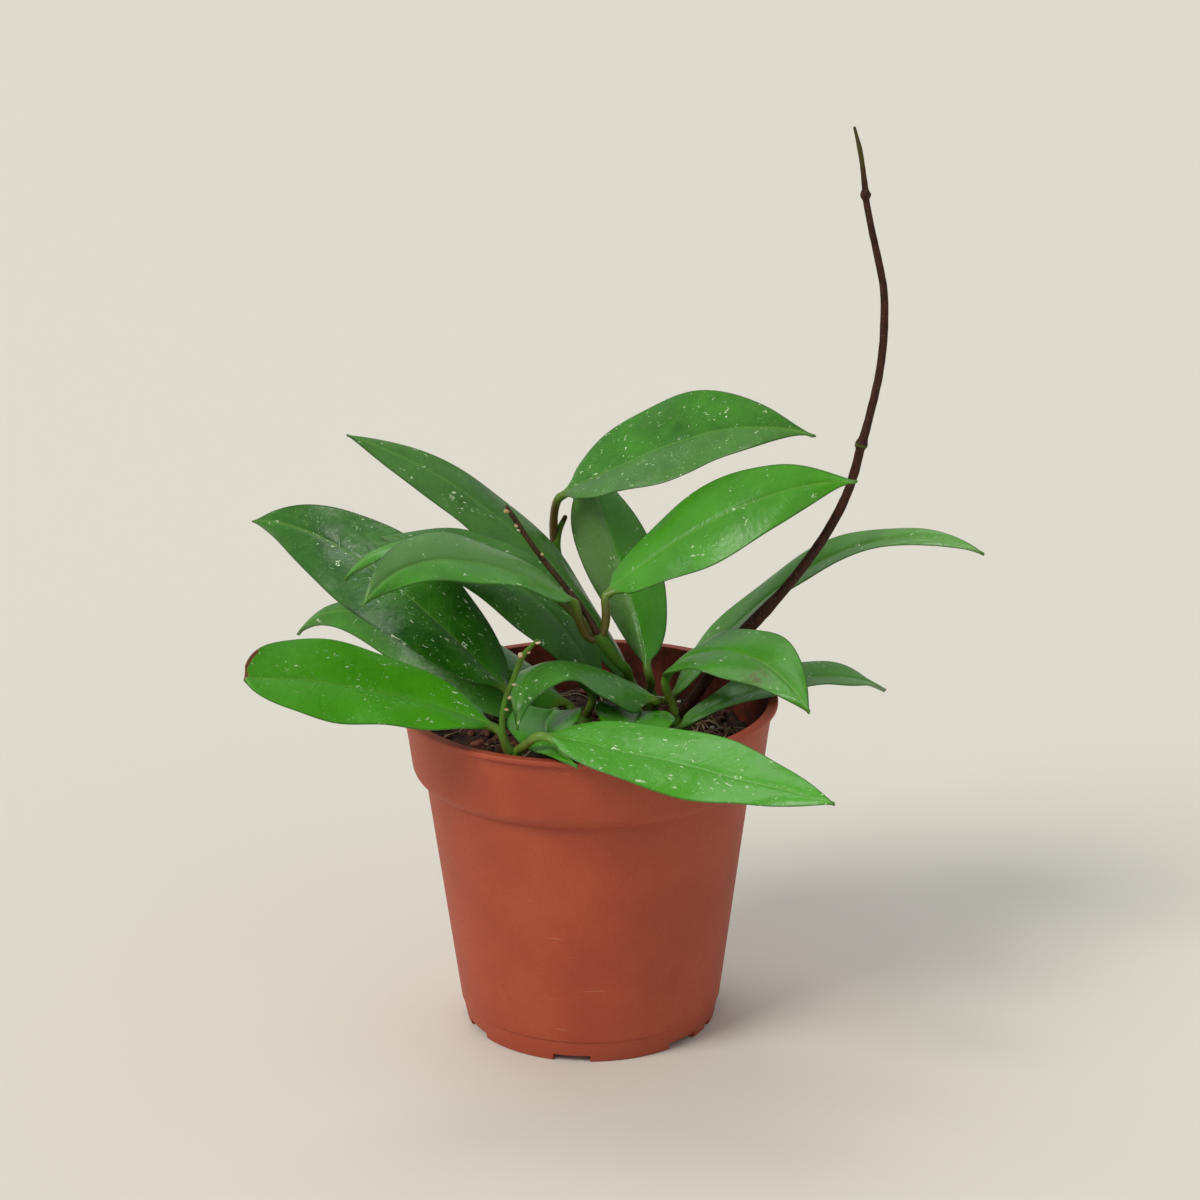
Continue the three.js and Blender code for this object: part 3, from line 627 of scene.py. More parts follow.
def leaf_material():
    g = Graph("leaf_green")
    along, across, seed = g.attribute("along"), g.attribute("across"), g.attribute("seed")
    spot = g.combine(along, across, seed)
    clouds = g.noise(spot, 17, 3, 0.6)
    fine = g.noise(g.combine(g.times(along, 0.35), across, seed), 1.6, 3, 0.6)
    width = g.math("ABSOLUTE", across)

    veins = leaf_veins(g, spot, along, width)
    midrib = g.step(width, 0.15, 0.5, 1, 0)
    flecks = leaf_flecks(g, spot, g.combine(g.times(along, 0.6), across, seed))
    margin = g.step(g.plus(g.attribute("edge"), g.times(fine, 0.3)), 0.2, 0.45, 1, 0)
    green = leaf_ground(g, across, clouds, fine)
    green = g.mix(g.times(veins, 0.16), green, LEAF_VEIN)
    green = g.mix(g.times(midrib, 0.3), green, LEAF_MIDRIB)
    green = g.mix(g.times(flecks, 0.85), green, LEAF_FLECK)
    green = g.mix(g.times(margin, 0.45), green, LEAF_MARGIN)

    below = g.mix(g.step(fine, 0.3, 0.7), *LEAF_BELOW)
    green = g.mix(g.step(g.attribute("upper"), -0.4, 0.4), below, green)
    green = leaf_damage(g, spot, green)
    colour = g.mix(g.step(g.attribute("blade"), 0.15, 0.8), leaf_stalk(g, spot, along), green)
    shine = g.plus(g.times(fine, 0.14), g.times(clouds, 0.16))
    g.surface(colour, g.plus(shine, 0.2), 0.42)

    leather = g.plus(g.times(g.noise(spot, 1.3, 3), 0.4), g.times(g.noise(spot, 5, 2), 1.6))
    height = g.plus(g.times(veins, -0.4), leather)
    g.bump(g.plus(height, g.times(flecks, 0.15)), 0.2)
    return g.material


def stem_material(name, green, dark, light):
    """Bark between two browns, green where the brown attribute is low."""
    g = Graph(name)
    spot = g.place()
    grain = g.noise(g.place((1, 1, 0.3)), 0.9, 4, 0.65)
    patches = g.noise(spot, 5, 3)
    bark = g.mix(g.step(grain, 0.3, 0.7), dark, light)
    fresh = g.mix(g.times(g.step(patches, 0.3, 0.7), 0.4), green, light)
    ripe = g.plus(g.attribute("brown"), g.swing(patches, 0.5))
    colour = g.mix(g.step(ripe, 0.2, 0.8), fresh, bark)
    pores = g.step(g.cells(spot, 1.1), 0.08, 0.2, 0.3, 0)
    colour = g.mix(pores, colour, BARK_PORE)
    g.surface(colour, g.plus(g.times(grain, 0.25), 0.5), 0.25)
    g.bump(grain, 0.22)
    return g.material


def pot_material():
    g = Graph("pot_plastic")
    spot = g.place()
    clouds = g.noise(spot, 26, 4, 0.6)
    specks = g.noise(spot, 0.7, 3, 0.6)
    colour = g.mix(g.step(clouds, 0.25, 0.75), *POT_COLOURS)
    colour = g.mix(g.times(g.step(specks, 0.3, 0.75), 0.25), colour, POT_SPECK)

    # Pale rubbed marks and level scratches, both in loose drifts.
    drift = g.noise(spot, 14, 3, 0.6)
    rub = g.noise(g.place((1, 1, 0.5)), 1.4, 5, 0.75, 1.2)
    scuff = g.times(g.step(rub, 0.6, 0.74), g.step(drift, 0.55, 0.72))
    colour = g.mix(g.times(scuff, 0.35), colour, POT_SCUFF)
    scratch = g.noise(g.place((0.12, 0.12, 2.2)), 1.1, 2, 0.5, 0.6)
    line = g.times(g.step(scratch, 0.7, 0.74), g.step(drift, 0.4, 0.6))
    colour = g.mix(g.times(line, 0.3), colour, POT_SCRATCH)

    # A darker tint low on the foot, and painted shade that darkens the inside wall.
    grime = g.times(g.step(g.height(spot), 0, 9, 1, 0), g.step(clouds, 0.3, 0.8))
    colour = g.mix(g.times(grime, 0.35), colour, POT_GRIME)
    inside = g.mix(g.step(g.noise(spot, 3, 4, 0.7), 0.35, 0.65), *POT_INSIDE_SHADE)
    colour = g.mix(g.attribute("inside"), colour, inside)
    rough = g.plus(g.times(specks, 0.2), g.times(clouds, 0.12))
    g.surface(colour, g.plus(rough, 0.42), 0.4)
    g.bump(g.plus(g.times(g.noise(spot, 0.35, 3), 0.6), g.times(scuff, 0.5)), 0.09)
    return g.material


def soil_material():
    g = Graph("soil_compost")
    spot = g.place()
    lumps = g.noise(spot, 3.2, 6, 0.7)
    grit = g.noise(spot, 0.6, 4, 0.7)
    colour = g.mix(g.step(lumps, 0.3, 0.7), *SOIL_COLOURS)
    colour = g.mix(g.times(g.step(grit, 0.6, 0.75), 0.6), colour, SOIL_FLECK)
    colour = g.mix(g.step(g.cells(spot, 2.3), 0.3, 0.6, 0, 0.6), colour, SOIL_SHADE)
    g.surface(colour, 0.92)
    g.bump(g.plus(lumps, g.times(grit, 0.5)), 1.1)
    return g.material


def crumb_material(name, dark, light):
    """Dry, grainy and matt, for crumbs, bark, roots and scars."""
    g = Graph(name)
    shade = g.noise(g.place(), 4, 3, 0.6)
    grain = g.noise(g.place((1, 0.35, 1)), 0.5, 4, 0.7)
    colour = g.mix(g.step(shade, 0.3, 0.7), dark, light)
    colour = g.mix(g.times(grain, 0.4), colour, CRUMB_GRAIN)
    g.surface(colour, 0.85)
    g.bump(grain, 0.3)
    return g.material


# ---- Leaves ----
# What a leaf has where LEAVES doesn't say otherwise.
USUAL_LEAF = dict(ease=0.4, brown=0.55, cast=0, burn=0)


def outline(leaf, t):
    """Half width along the blade, 1 at its widest place."""
    widest = leaf["full"] / (leaf["full"] + leaf["taper"])
    t = min(max(t, 0), 1)
    return (t / widest) ** leaf["full"] * ((1 - t) / (1 - widest)) ** leaf["taper"]


def blade_frame(leaf, t):
    """Directions along the blade, across it and out of its upper face."""
    heading = leaf["heading"] + leaf["turn"] * t
    slope = mix(leaf["rise"], leaf["droop"], t ** leaf["bend"])
    roll = radians(mix(*leaf["roll"], t))
    tangent = bearing(heading, slope)
    level = bearing(heading - 90, 0)
    face = level.cross(tangent)
    side = level * cos(roll) + face * sin(roll)
    normal = face * cos(roll) - level * sin(roll)
    return tangent, side, normal


def ring_stations():
    """(u across, face, angle on a round stalk) once round; face is 1 above, -1 below, 0 at a rim."""
    top = list(BLADE_STATIONS) + [-u for u in reversed(BLADE_STATIONS[:-1])]
    stations = [(1, 0, 0)]
    stations += [(u, 1, RIM_ANGLE + (1 - u) * FACE_ANGLE) for u in top]
    stations += [(-1, 0, 180)]
    stations += [(-u, -1, 180 + RIM_ANGLE + (1 - u) * FACE_ANGLE) for u in top]
    return [(u, face, radians(angle)) for u, face, angle in stations]


def stalk_rings(leaf, stations):
    """The round stalk, from the stem to the blade, and what the material reads at its points."""
    foot, base = Vector(leaf["foot"]), Vector(leaf["base"])
    reach = (base - foot).length
    start_tangent, start_side, _ = blade_frame(leaf, 0)
    knots = (foot, foot + bearing(*leaf["sprout"]) * reach * STALK_SPROUT,
             base - start_tangent * reach * leaf["ease"], base)

    def middle(s):
        return (knots[0] * (1 - s) ** 3 + 3 * knots[1] * s * (1 - s) ** 2
                + 3 * knots[2] * s ** 2 * (1 - s) + knots[3] * s ** 3)

    rings, facts = [], []
    for i in range(PETIOLE_STEPS):
        s = i / PETIOLE_STEPS
        centre = middle(s)
        tangent = (middle(s + STALK_LOOK) - middle(max(s - STALK_LOOK, 0))).normalized()
        side = (start_side - tangent * start_side.dot(tangent)).normalized()
        normal = side.cross(tangent)
        radius = PETIOLE_RADIUS * (1 + PETIOLE_ROUGHNESS * noise.noise(centre * PETIOLE_RATE))
        rings.append([centre + side * radius * cos(a) + normal * radius * sin(a)
                      for _, _, a in stations])
        facts.append([((s - 1) * reach, radius * cos(a), STALK_EDGE, 0.0, float(face), 0.0)
                      for _, face, a in stations])
    return rings, facts


def blade_section(leaf, t, u, half, face, flat, seed):
    """How far the surface lies to the side of the midrib and above it."""
    fold = radians(leaf["fold"])
    along, across = t * leaf["length"], half * u
    wave = EDGE_WAVE * sin(t * WAVE_RATE + leaf["length"] + 2 * u) * u * u * flat
    soft = noise.noise(Vector((along / SOFT_LENGTH, across / SOFT_WIDTH, seed))) * SOFT_SWELL * flat
    pillow = PILLOW_SHARE * half * sin(pi * abs(u)) * flat
    groove = exp(-(across / GROOVE_WIDTH) ** 2) * GROOVE_DEPTH * smooth((1 - t) * GROOVE_FADE)
    keel = exp(-(across / KEEL_WIDTH) ** 2) * KEEL_HEIGHT * (1 - t)
    thick = BLADE_THICKNESS / 2 * mix(1, BLADE_EDGE_SHARE, u * u) * mix(1, BLADE_TIP_SHARE, t)
    lift = (thick - groove) if face > 0 else (-thick - keel if face < 0 else 0)
    bent = sqrt(u * u + FOLD_ROUND) - FOLD_DROP
    spread = across * cos(fold) + (EDGE_ROUND * u if face == 0 else 0)
    return spread, half * bent * sin(fold) + lift + wave + soft + pillow


def scorch(leaf, t, u, half):
    """How dried the blade is there, 0 to 1: at the upper rim of a damaged tip."""
    to_rim = min(half * (1 - abs(u)), (1 - t) * leaf["length"])
    dried = leaf["burn"] * smooth((t - SCORCH_FROM) / SCORCH_FADE)
    return dried * smooth(SCORCH_START - to_rim / SCORCH_RIM) * smooth(SCORCH_MIDDLE + u * SCORCH_SIDE)


def blade_rings(leaf, stations, seed):
    """The blade, from its base to its tip, and what the material reads at its points."""
    spine = Vector(leaf["base"])
    stride = leaf["length"] / BLADE_STEPS
    rings, facts = [], []
    for i in range(BLADE_STEPS + 1):
        t = i / BLADE_STEPS
        _, side, normal = blade_frame(leaf, t)
        if i:
            spine = spine + blade_frame(leaf, t - 0.5 / BLADE_STEPS)[0] * stride
        least = mix(PETIOLE_RADIUS, BLADE_TIP_HALF_WIDTH, smooth(t / BLADE_NECK_SHARE))
        half = max(leaf["width"] / 2 * outline(leaf, t), least)
        flat = min(1, t * STALK_TO_BLADE)
        ring, fact = [], []
        for u, face, a in stations:
            spread, rise = blade_section(leaf, t, u, half, face, flat, seed)
            ring.append(spine
                        + side * mix(PETIOLE_RADIUS * cos(a), spread, flat)
                        + normal * mix(PETIOLE_RADIUS * sin(a), rise, flat))
            fact.append((t * leaf["length"], half * u, half * (1 - abs(u)), flat, float(face),
                         scorch(leaf, t, u, half)))
        rings.append(ring)
        facts.append(fact)
    return rings, facts


def leaf_attributes(leaf, facts, seed):
    """What the material reads at each point: its place on the leaf, the damage, and the leaf's tones with
    their painted light, shade and sheen.
    """
    names = ("along", "across", "edge", "blade", "upper", "burn")
    attributes = {name: [fact[i] for fact in facts] for i, name in enumerate(names)}
    for name in ("tone", "grey", "flecks", "brown", "cast"):
        attributes[name] = [leaf[name]] * len(facts)
    attributes["seed"] = [float(seed)] * len(facts)
    attributes["blot"] = [0.0] * len(facts)
    if "blot" in leaf:
        blot_along, blot_across, size = leaf["blot"]
        attributes["blot"] = [exp(-((along - blot_along) ** 2 + (across - blot_across) ** 2) / size ** 2)
                              if face > 0 else 0.0 for along, across, _, _, face, _ in facts]
    return attributes


def add_leaf(name, leaf, seed, material):
    stations = ring_stations()
    stalk, stalk_facts = stalk_rings(leaf, stations)
    blade, blade_facts = blade_rings(leaf, stations, seed)
    rings = stalk_facts + blade_facts
    facts = [fact for ring in rings for fact in ring] + [rings[0][0], rings[-1][0]]
    piece = build("fine_" + name, *skin(stalk + blade), leaf_attributes(leaf, facts, seed))
    finish_piece(piece, material, "leaf", name)


def add_leaves():
    material = leaf_material()
    for index, (name, leaf) in enumerate(LEAVES.items()):
        add_leaf(name, USUAL_LEAF | leaf, LEAF_SEED_STEP * index, material)


# ---- Stems ----
# Brown low down and at the tip of a stem, in shares of its length.
STEM_LOW_TO = 0.48
STEM_LOW_FADE = 0.2
STEM_TIP_FROM = 0.84
STEM_TIP_FADE = 0.1
STEM_TIP_BROWN = 0.9
# Green at the vine's tip and at the bud near its middle.
VINE_TIP_FROM = 0.8
VINE_TIP_FADE = 0.15
VINE_TIP_GREEN = 0.55
VINE_BUD_PLACE = 0.449
VINE_BUD_WIDTH = 0.012
VINE_BUD_GREEN = 0.75
# Brownness of the flower stalks at the foot and at the tip.
FLOWER_TINTS = {"stem_middle": (0.95, 0.95), "stem_front": (0.1, 0.45)}

# Pale scars that fallen flowers left: place along the stalk in spans, side (1 right), size.
FLOWER_SCARS = {
    "stem_middle": [(4.62, -1, 0.75), (3.76, -1, 0.8), (3.62, -1, 0.65), (2.9, 1, 0.6), (1.7, 1, 0.45)],
    "stem_front": [(5.85, 1, 0.6), (5.0, -1, 0.9), (5.15, 1, 0.7), (3.83, 1, 0.75), (3.32, 1, 0.75),
                   (2.84, 1, 0.7)],
}
SCAR_FORWARD = 0.35
SCAR_SEED = 5


def tinted_tube(route, sides, steps, bark, seed, tint):
    """A tube with a brownness for each point; tint takes how far along it is, 0 to 1."""
    rings = tube_rings(route, sides, steps, bark, seed)
    last = len(rings) - 1
    tints = [tint(i / last) for i, ring in enumerate(rings) for _ in ring]
    return skin(rings), tints + [tint(0), tint(1)]


def stem_tint(k):
    low = smooth((STEM_LOW_TO - k) / STEM_LOW_FADE)
    tip = STEM_TIP_BROWN * smooth((k - STEM_TIP_FROM) / STEM_TIP_FADE)
    return max(low, tip)


def vine_tint(k):
    bud = VINE_BUD_GREEN * exp(-((k - VINE_BUD_PLACE) / VINE_BUD_WIDTH) ** 2)
    tip = VINE_TIP_GREEN * smooth((k - VINE_TIP_FROM) / VINE_TIP_FADE)
    return 1 - max(tip, bud)


def add_stem(name, route, seed, material):
    tubes = [tinted_tube(route, STEM_SIDES, STEM_STEPS, STEM_BARK, seed, stem_tint)]
    if name in FLOWER_STALKS:
        low, tip = FLOWER_TINTS[name]
        tubes.append(tinted_tube(FLOWER_STALKS[name], FLOWER_SIDES, STEM_STEPS, FLOWER_BARK, seed,
                                 lambda k: mix(low, tip, k)))
    tints = [tint for _, more in tubes for tint in more]
    piece = build("fine_" + name, *join(shape for shape, _ in tubes), {"brown": tints})
    finish_piece(piece, material, "stem", name)


def add_stems():
    bark = stem_material("stem_bark", *STEM_BARK_COLOURS)
    for index, (name, route) in enumerate(STEMS.items()):
        add_stem(name, route, STEM_SEED_STEP * index, bark)


def add_vine():
    shape, tints = tinted_tube(VINE, STEM_SIDES, VINE_STEPS, VINE_BARK, VINE_SEED, vine_tint)
    bark = stem_material("vine_bark", *VINE_BARK_COLOURS)
    finish_piece(build("fine_vine", *shape, {"brown": tints}), bark, "vine", "vine")


def add_flower_scars():
    draw = random.Random(SCAR_SEED)
    shapes = []
    for name, scars in FLOWER_SCARS.items():
        route = FLOWER_STALKS[name]
        for along, side, size in scars:
            radius = route[int(along)][3]
            centre = spline(route, along) + Vector((side * radius, -SCAR_FORWARD * radius, 0))
            shapes.append(crumb(centre, size, draw))
    finish_piece(build("flower_scars", *join(shapes)), crumb_material("scar_cream", *SCAR_COLOURS), "stem")


# ---- Pot ----
def corner(radius, height, size, start):
    """A quarter turn of the wall's section, from the start angle on."""
    turns = [radians(start + 90 * i / EDGE_STEPS) for i in range(EDGE_STEPS + 1)]
    return [(radius + size * cos(a), height + size * sin(a), 0) for a in turns]


def pot_profile():
    """(radius, height, 1 if it is inside) once round the wall's section, from the floor's underside."""
    inner_foot = FOOT_RADIUS - FOOT_WIDTH
    crease = FOOT_TOP_RADIUS - CREASE_DEPTH
    body_low = FOOT_TOP_Z + CREASE_DEPTH
    profile = [(HUB_RADIUS, FLOOR_LOW, 0), (inner_foot, FLOOR_LOW, 0), (inner_foot, 0, 0),
               (FOOT_RADIUS - EDGE_BEVEL, 0, 0), (FOOT_RADIUS, EDGE_BEVEL, 0),
               (crease, FOOT_TOP_Z - CREASE_DEPTH, 0), (crease, FOOT_TOP_Z, 0),
               (FOOT_TOP_RADIUS, body_low, 0)]
    profile += [(mix(FOOT_TOP_RADIUS, STEP_RADIUS, k), mix(body_low, STEP_Z, k), 0) for k in BODY_STATIONS]
    profile.append((STEP_RADIUS, STEP_Z, 0))
    for i in range(STEP_CURVE_PIECES + 1):
        a = radians(mix(STEP_CURVE_FROM, STEP_CURVE_TO, i / STEP_CURVE_PIECES))
        profile.append((STEP_RADIUS - STEP_CURVE_INSET + STEP_CURVE_RADIUS * cos(a),
                        BAND_LOW_Z + STEP_CURVE_RADIUS * sin(a), 0))

    lip_low = POT_HEIGHT - LIP_HEIGHT
    profile.append((mix(BAND_LOW_RADIUS, BAND_TOP_RADIUS, 0.5), mix(BAND_LOW_Z, lip_low, 0.5), 0))
    profile.append((BAND_TOP_RADIUS, lip_low, 0))
    profile += corner(LIP_RADIUS - EDGE_BEVEL, lip_low + EDGE_BEVEL, EDGE_BEVEL, -90)
    profile += corner(LIP_RADIUS - EDGE_BEVEL, POT_HEIGHT - EDGE_BEVEL, EDGE_BEVEL, 0)

    inner_top = BAND_TOP_RADIUS - WALL
    profile += [(inner_top + out, POT_HEIGHT - down, inside) for out, down, inside in INNER_LIP]
    profile += [(BAND_LOW_RADIUS - WALL - BAND_EXTRA_WALL, BAND_LOW_Z, 1),
                (STEP_RADIUS - WALL, STEP_Z - INNER_STEP_DROP, 1),
                (FOOT_TOP_RADIUS - WALL - FOOT_EXTRA_WALL, FOOT_TOP_Z, 1),
                (FOOT_RADIUS - WALL, FLOOR_TOP, 1), (HUB_RADIUS, FLOOR_TOP, 1)]
    return profile


def notch_cutter(angle, width):
    """A wedge that cuts one notch through the foot ring."""
    turn = radians(angle + NOTCH_OFFSET - 90)
    spread = tan(radians(width / 2))
    corners = []
    for r, side in ((CUT_NEAR, -1), (CUT_FAR, -1), (CUT_FAR, 1), (CUT_NEAR, 1)):
        x, y = r, r * spread * side
        corners.append((x * cos(turn) - y * sin(turn), x * sin(turn) + y * cos(turn)))
    points = [Vector((x, y, z)) for z in (-CUT_OVERSHOOT, NOTCH_HEIGHT) for x, y in corners]
    faces = [(3, 2, 1, 0), (4, 5, 6, 7)]
    faces += [(k, (k + 1) % 4, (k + 1) % 4 + 4, k + 4) for k in range(4)]
    return points, faces


def drain_cutter(index):
    turn = tau * (index + 0.5) / DRAIN_COUNT
    centre = (DRAIN_CIRCLE * cos(turn), DRAIN_CIRCLE * sin(turn))
    ends = (-CUT_OVERSHOOT, FLOOR_TOP + CUT_OVERSHOOT)
    return skin([circle(DRAIN_RADIUS, z, DRAIN_SIDES, centre) for z in ends])


def cut(piece, cutter):
    """Cuts one object out of another and throws the cutter away."""
    modifier = piece.modifiers.new("cut", "BOOLEAN")
    modifier.operation = "DIFFERENCE"
    modifier.solver = "EXACT"
    modifier.object = cutter
    bpy.context.view_layer.update()
    result = bpy.data.meshes.new_from_object(piece.evaluated_get(bpy.context.evaluated_depsgraph_get()))
    piece.modifiers.clear()
    piece.data = result
    bpy.data.objects.remove(cutter)


def add_pot():
    profile = pot_profile()
    rings = [circle(r, z, POT_SIDES) for r, z, _ in profile]
    inside = [float(flag) for _, _, flag in profile for _ in range(POT_SIDES)] + [0.0, 1.0]
    pot = build("fine_pot", *skin(rings), {"inside": inside})
    cutters = [notch_cutter(angle, WIDE_NOTCH_ANGLE) for angle in WIDE_NOTCHES]
    cutters += [notch_cutter(angle, NARROW_NOTCH_ANGLE) for angle in NARROW_NOTCHES]
    cutters += [drain_cutter(i) for i in range(DRAIN_COUNT)]
    cut(pot, build("cutter", *join(cutters)))
    pot.data.shade_smooth()
    pot.data.set_sharp_from_angle(angle=radians(POT_SHARP_ANGLE))
    finish_piece(pot, pot_material(), "pot", "pot")


# ---- Soil ----
# Loose bits on the soil: how many, smallest, largest, how far out, material, dark and light colour.
SOIL_BITS = {
    "soil_crumbs": (620, 0.5, 2.2, 43, "crumb_dark", rgb(48, 28, 19), rgb(112, 68, 46)),
    "soil_bark": (60, 0.9, 3.4, 41, "crumb_bark", rgb(112, 56, 36), rgb(158, 92, 60)),
    "soil_grit": (40, 0.4, 1.0, 43, "crumb_pale", rgb(206, 196, 178), rgb(232, 226, 210)),
}
SOIL_SEED = 11
BIT_SIZE_POWER = 2.5
BIT_RAISE = 0.15
BIT_SHARP_ANGLE = 50
CRUMB_STRETCH = ((0.7, 1.3), (0.6, 1.1), (0.45, 0.8))
CRUMB_TILT = 0.5
CRUMB_LUMPS = 0.45
CRUMB_LUMP_RATE = 1.4

ROOT_COUNT = 46
ROOT_START_REACH = 42
ROOT_LIMIT = 44
ROOT_RADIUS = (0.12, 0.3)
ROOT_POINTS = (5, 9)
ROOT_FEWEST_POINTS = 3
ROOT_LIFT = (-0.2, 0.9)
ROOT_TURN = 0.6
ROOT_STRIDE = 2.4
ROOT_SIDES = 6
ROOT_STEPS = 3

# A loose tangle of dry roots that stands up out of the soil at the front right.
TANGLE_PLACE = (34, 3)
TANGLE_REACH = (6, 4.2)
TANGLE_ROOTS = 26
TANGLE_RADIUS = (0.16, 0.34)
TANGLE_HEIGHT = (0.8, 3.8)
TANGLE_SINK = 0.3
TANGLE_STATIONS = (0, 0.2, 0.4, 0.6, 0.8, 1)
TANGLE_TURN = 0.8
TANGLE_STRIDE = 1.7


def soil_surface(x, y):
    """Height of the soil: a low crown with broad waves and two finer roughnesses."""
    crown = SOIL_CROWN * (1 - (hypot(x, y) / SOIL_CROWN_REACH) ** 2)
    long_x, long_y, short_x, short_y = SOIL_WAVE_RATES
    waves = sin(x * long_x + SOIL_WAVE_SHIFT) * cos(y * long_y)
    waves += SOIL_CROSS_WAVE * sin(x * short_x - y * short_y)
    rough = sum(height * noise.fractal(Vector((x, y, 0)) * rate, 1, 2, octaves)
                for height, rate, octaves in SOIL_ROUGHNESS)
    return SOIL_LEVEL + crown + SOIL_RELIEF * waves + rough


def add_soil_bed():
    places = ((FOOT_RADIUS, FLOOR_TOP + SOIL_FLOOR_GAP), (FOOT_TOP_RADIUS, FOOT_TOP_Z),
              (STEP_RADIUS, STEP_Z - INNER_STEP_DROP), (BAND_LOW_RADIUS, BAND_LOW_Z))
    rings = [circle(r - WALL - gap, z, SOIL_SIDES) for (r, z), gap in zip(places, SOIL_WALL_GAPS)]
    edge = BAND_LOW_RADIUS - WALL - SOIL_EDGE_GAP
    turns = [tau * k / SOIL_SIDES for k in range(SOIL_SIDES)]
    for i in range(SOIL_RINGS):
        r = edge * (1 - i / SOIL_RINGS)
        spots = [(r * cos(a), r * sin(a)) for a in turns]
        rings.append([Vector((x, y, soil_surface(x, y))) for x, y in spots])
    finish_piece(build("soil_bed", *skin(rings)), soil_material(), "soil", "soil")


def crumb(centre, size, draw):
    """One irregular crumb: a small faceted ball pushed about by noise."""
    work = bmesh.new()
    bmesh.ops.create_icosphere(work, subdivisions=2, radius=1)
    stretch = Vector([draw.uniform(*span) for span in CRUMB_STRETCH])
    turn = Matrix.Rotation(draw.uniform(0, tau), 3, "Z")
    turn = turn @ Matrix.Rotation(draw.uniform(-CRUMB_TILT, CRUMB_TILT), 3, "X")
    shift = Vector((draw.uniform(0, 90), 0, 0))
    points = []
    for vertex in work.verts:
        p = vertex.co * (1 + CRUMB_LUMPS * noise.noise(vertex.co * CRUMB_LUMP_RATE + shift))
        points.append(centre + turn @ Vector([a * b for a, b in zip(p, stretch)]) * size)
    faces = [tuple(v.index for v in face.verts) for face in work.faces]
    work.free()
    return points, faces


def add_soil_bits(name, draw):
    count, smallest, largest, reach, material, dark, light = SOIL_BITS[name]
    shapes = []
    for _ in range(count):
        r, a = reach * sqrt(draw.random()), draw.uniform(0, tau)
        x, y = r * cos(a), r * sin(a)
        size = smallest + (largest - smallest) * draw.random() ** BIT_SIZE_POWER
        shapes.append(crumb(Vector((x, y, soil_surface(x, y) + size * BIT_RAISE)), size, draw))
    piece = build(name, *join(shapes), sharp=BIT_SHARP_ANGLE)
    finish_piece(piece, crumb_material(material, dark, light), "soil")


def add_roots(draw, material):
    shapes = []
    for _ in range(ROOT_COUNT):
        r, a = ROOT_START_REACH * sqrt(draw.random()), draw.uniform(0, tau)
        x, y, heading = r * cos(a), r * sin(a), draw.uniform(0, tau)
        radius = draw.uniform(*ROOT_RADIUS)
        route = []
        for _ in range(draw.randint(*ROOT_POINTS)):
            route.append((x, y, soil_surface(x, y) + draw.uniform(*ROOT_LIFT), radius))
            heading += draw.uniform(-ROOT_TURN, ROOT_TURN)
            x += ROOT_STRIDE * cos(heading)
            y += ROOT_STRIDE * sin(heading)
            if hypot(x, y) > ROOT_LIMIT:
                break
        if len(route) >= ROOT_FEWEST_POINTS:
            shapes.append(skin(tube_rings(route, ROOT_SIDES, ROOT_STEPS)))
    finish_piece(build("soil_roots", *join(shapes)), material, "soil")


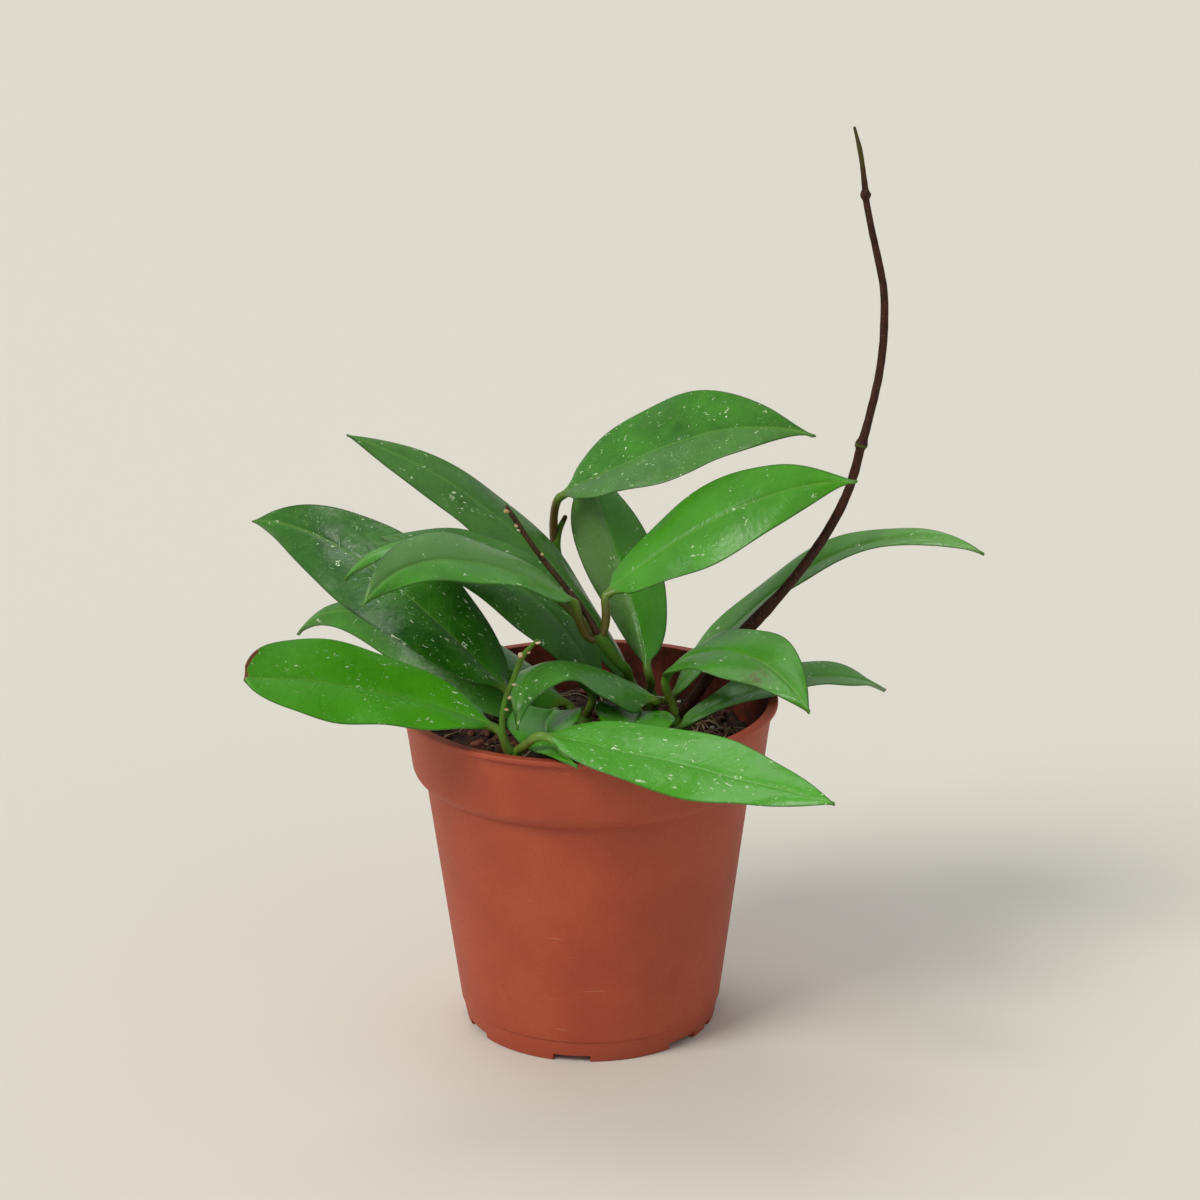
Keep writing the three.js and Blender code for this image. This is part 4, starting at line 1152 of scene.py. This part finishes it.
def add_tangle(draw, material):
    shapes = []
    for _ in range(TANGLE_ROOTS):
        heading = draw.uniform(0, tau)
        x, y = (place + draw.uniform(-1, 1) * reach for place, reach in zip(TANGLE_PLACE, TANGLE_REACH))
        radius, height = draw.uniform(*TANGLE_RADIUS), draw.uniform(*TANGLE_HEIGHT)
        route = []
        for k in TANGLE_STATIONS:
            lift = height * sin(pi * k) - TANGLE_SINK
            route.append((x, y, soil_surface(x, y) + lift, radius))
            heading += draw.uniform(-TANGLE_TURN, TANGLE_TURN)
            x += TANGLE_STRIDE * cos(heading)
            y += TANGLE_STRIDE * sin(heading)
        shapes.append(skin(tube_rings(route, ROOT_SIDES, ROOT_STEPS)))
    finish_piece(build("soil_tangle", *join(shapes)), material, "soil")


def add_soil():
    draw = random.Random(SOIL_SEED)
    add_soil_bed()
    for name in SOIL_BITS:
        add_soil_bits(name, draw)
    pale = crumb_material("root_pale", *ROOT_COLOURS)
    add_roots(draw, pale)
    add_tangle(draw, pale)


# ---- Stage ----
# In metres: the floor's half width, and three far soft lamps, each with its place, its width
# in degrees, its strength and its colour.
FLOOR_HALF = 6
FLOOR_ROUGHNESS = 0.8
LAMPS = {
    "key": ((-0.95, -0.7, 1.2), 26, 1.8, (1, 0.98, 0.95)),
    "top": ((-0.25, 0.55, 1.3), 32, 0.7, (1, 1, 1)),
    "fill": ((0.9, -1.4, 0.9), 60, 0.2, (0.95, 0.97, 1)),
}
LAMP_TARGET = (0, 0, 0.1)
SKY_COLOUR = (0.95, 0.97, 1, 1)
SKY_STRENGTH = 0.44


def add_floor():
    mesh = bpy.data.meshes.new("floor")
    corners = [(x * FLOOR_HALF, y * FLOOR_HALF, 0) for x, y in ((-1, -1), (1, -1), (1, 1), (-1, 1))]
    mesh.from_pydata(corners, [], [(0, 1, 2, 3)])
    floor = add_object("floor", mesh)
    g = Graph("floor_pale")
    g.surface(FLOOR_COLOUR, FLOOR_ROUGHNESS)
    mesh.materials.append(g.material)


def add_lamps():
    for name, (place, softness, strength, colour) in LAMPS.items():
        data = bpy.data.lights.new(name, "SUN")
        data.angle = radians(softness)
        data.energy = strength
        data.color = colour
        lamp = add_object(name, data)
        lamp.location = place
        aim = Vector(LAMP_TARGET) - Vector(place)
        lamp.rotation_euler = aim.to_track_quat("-Z", "Y").to_euler()


def add_sky():
    world = bpy.data.worlds.new("studio")
    world.use_nodes = True
    sky = world.node_tree.nodes["Background"]
    sky.inputs["Color"].default_value = SKY_COLOUR
    sky.inputs["Strength"].default_value = SKY_STRENGTH
    bpy.context.scene.world = world
    bpy.context.scene.view_settings.view_transform = "Standard"


add_pot()
add_soil()
add_stems()
add_vine()
add_flower_scars()
add_leaves()
add_floor()
add_lamps()
add_sky()
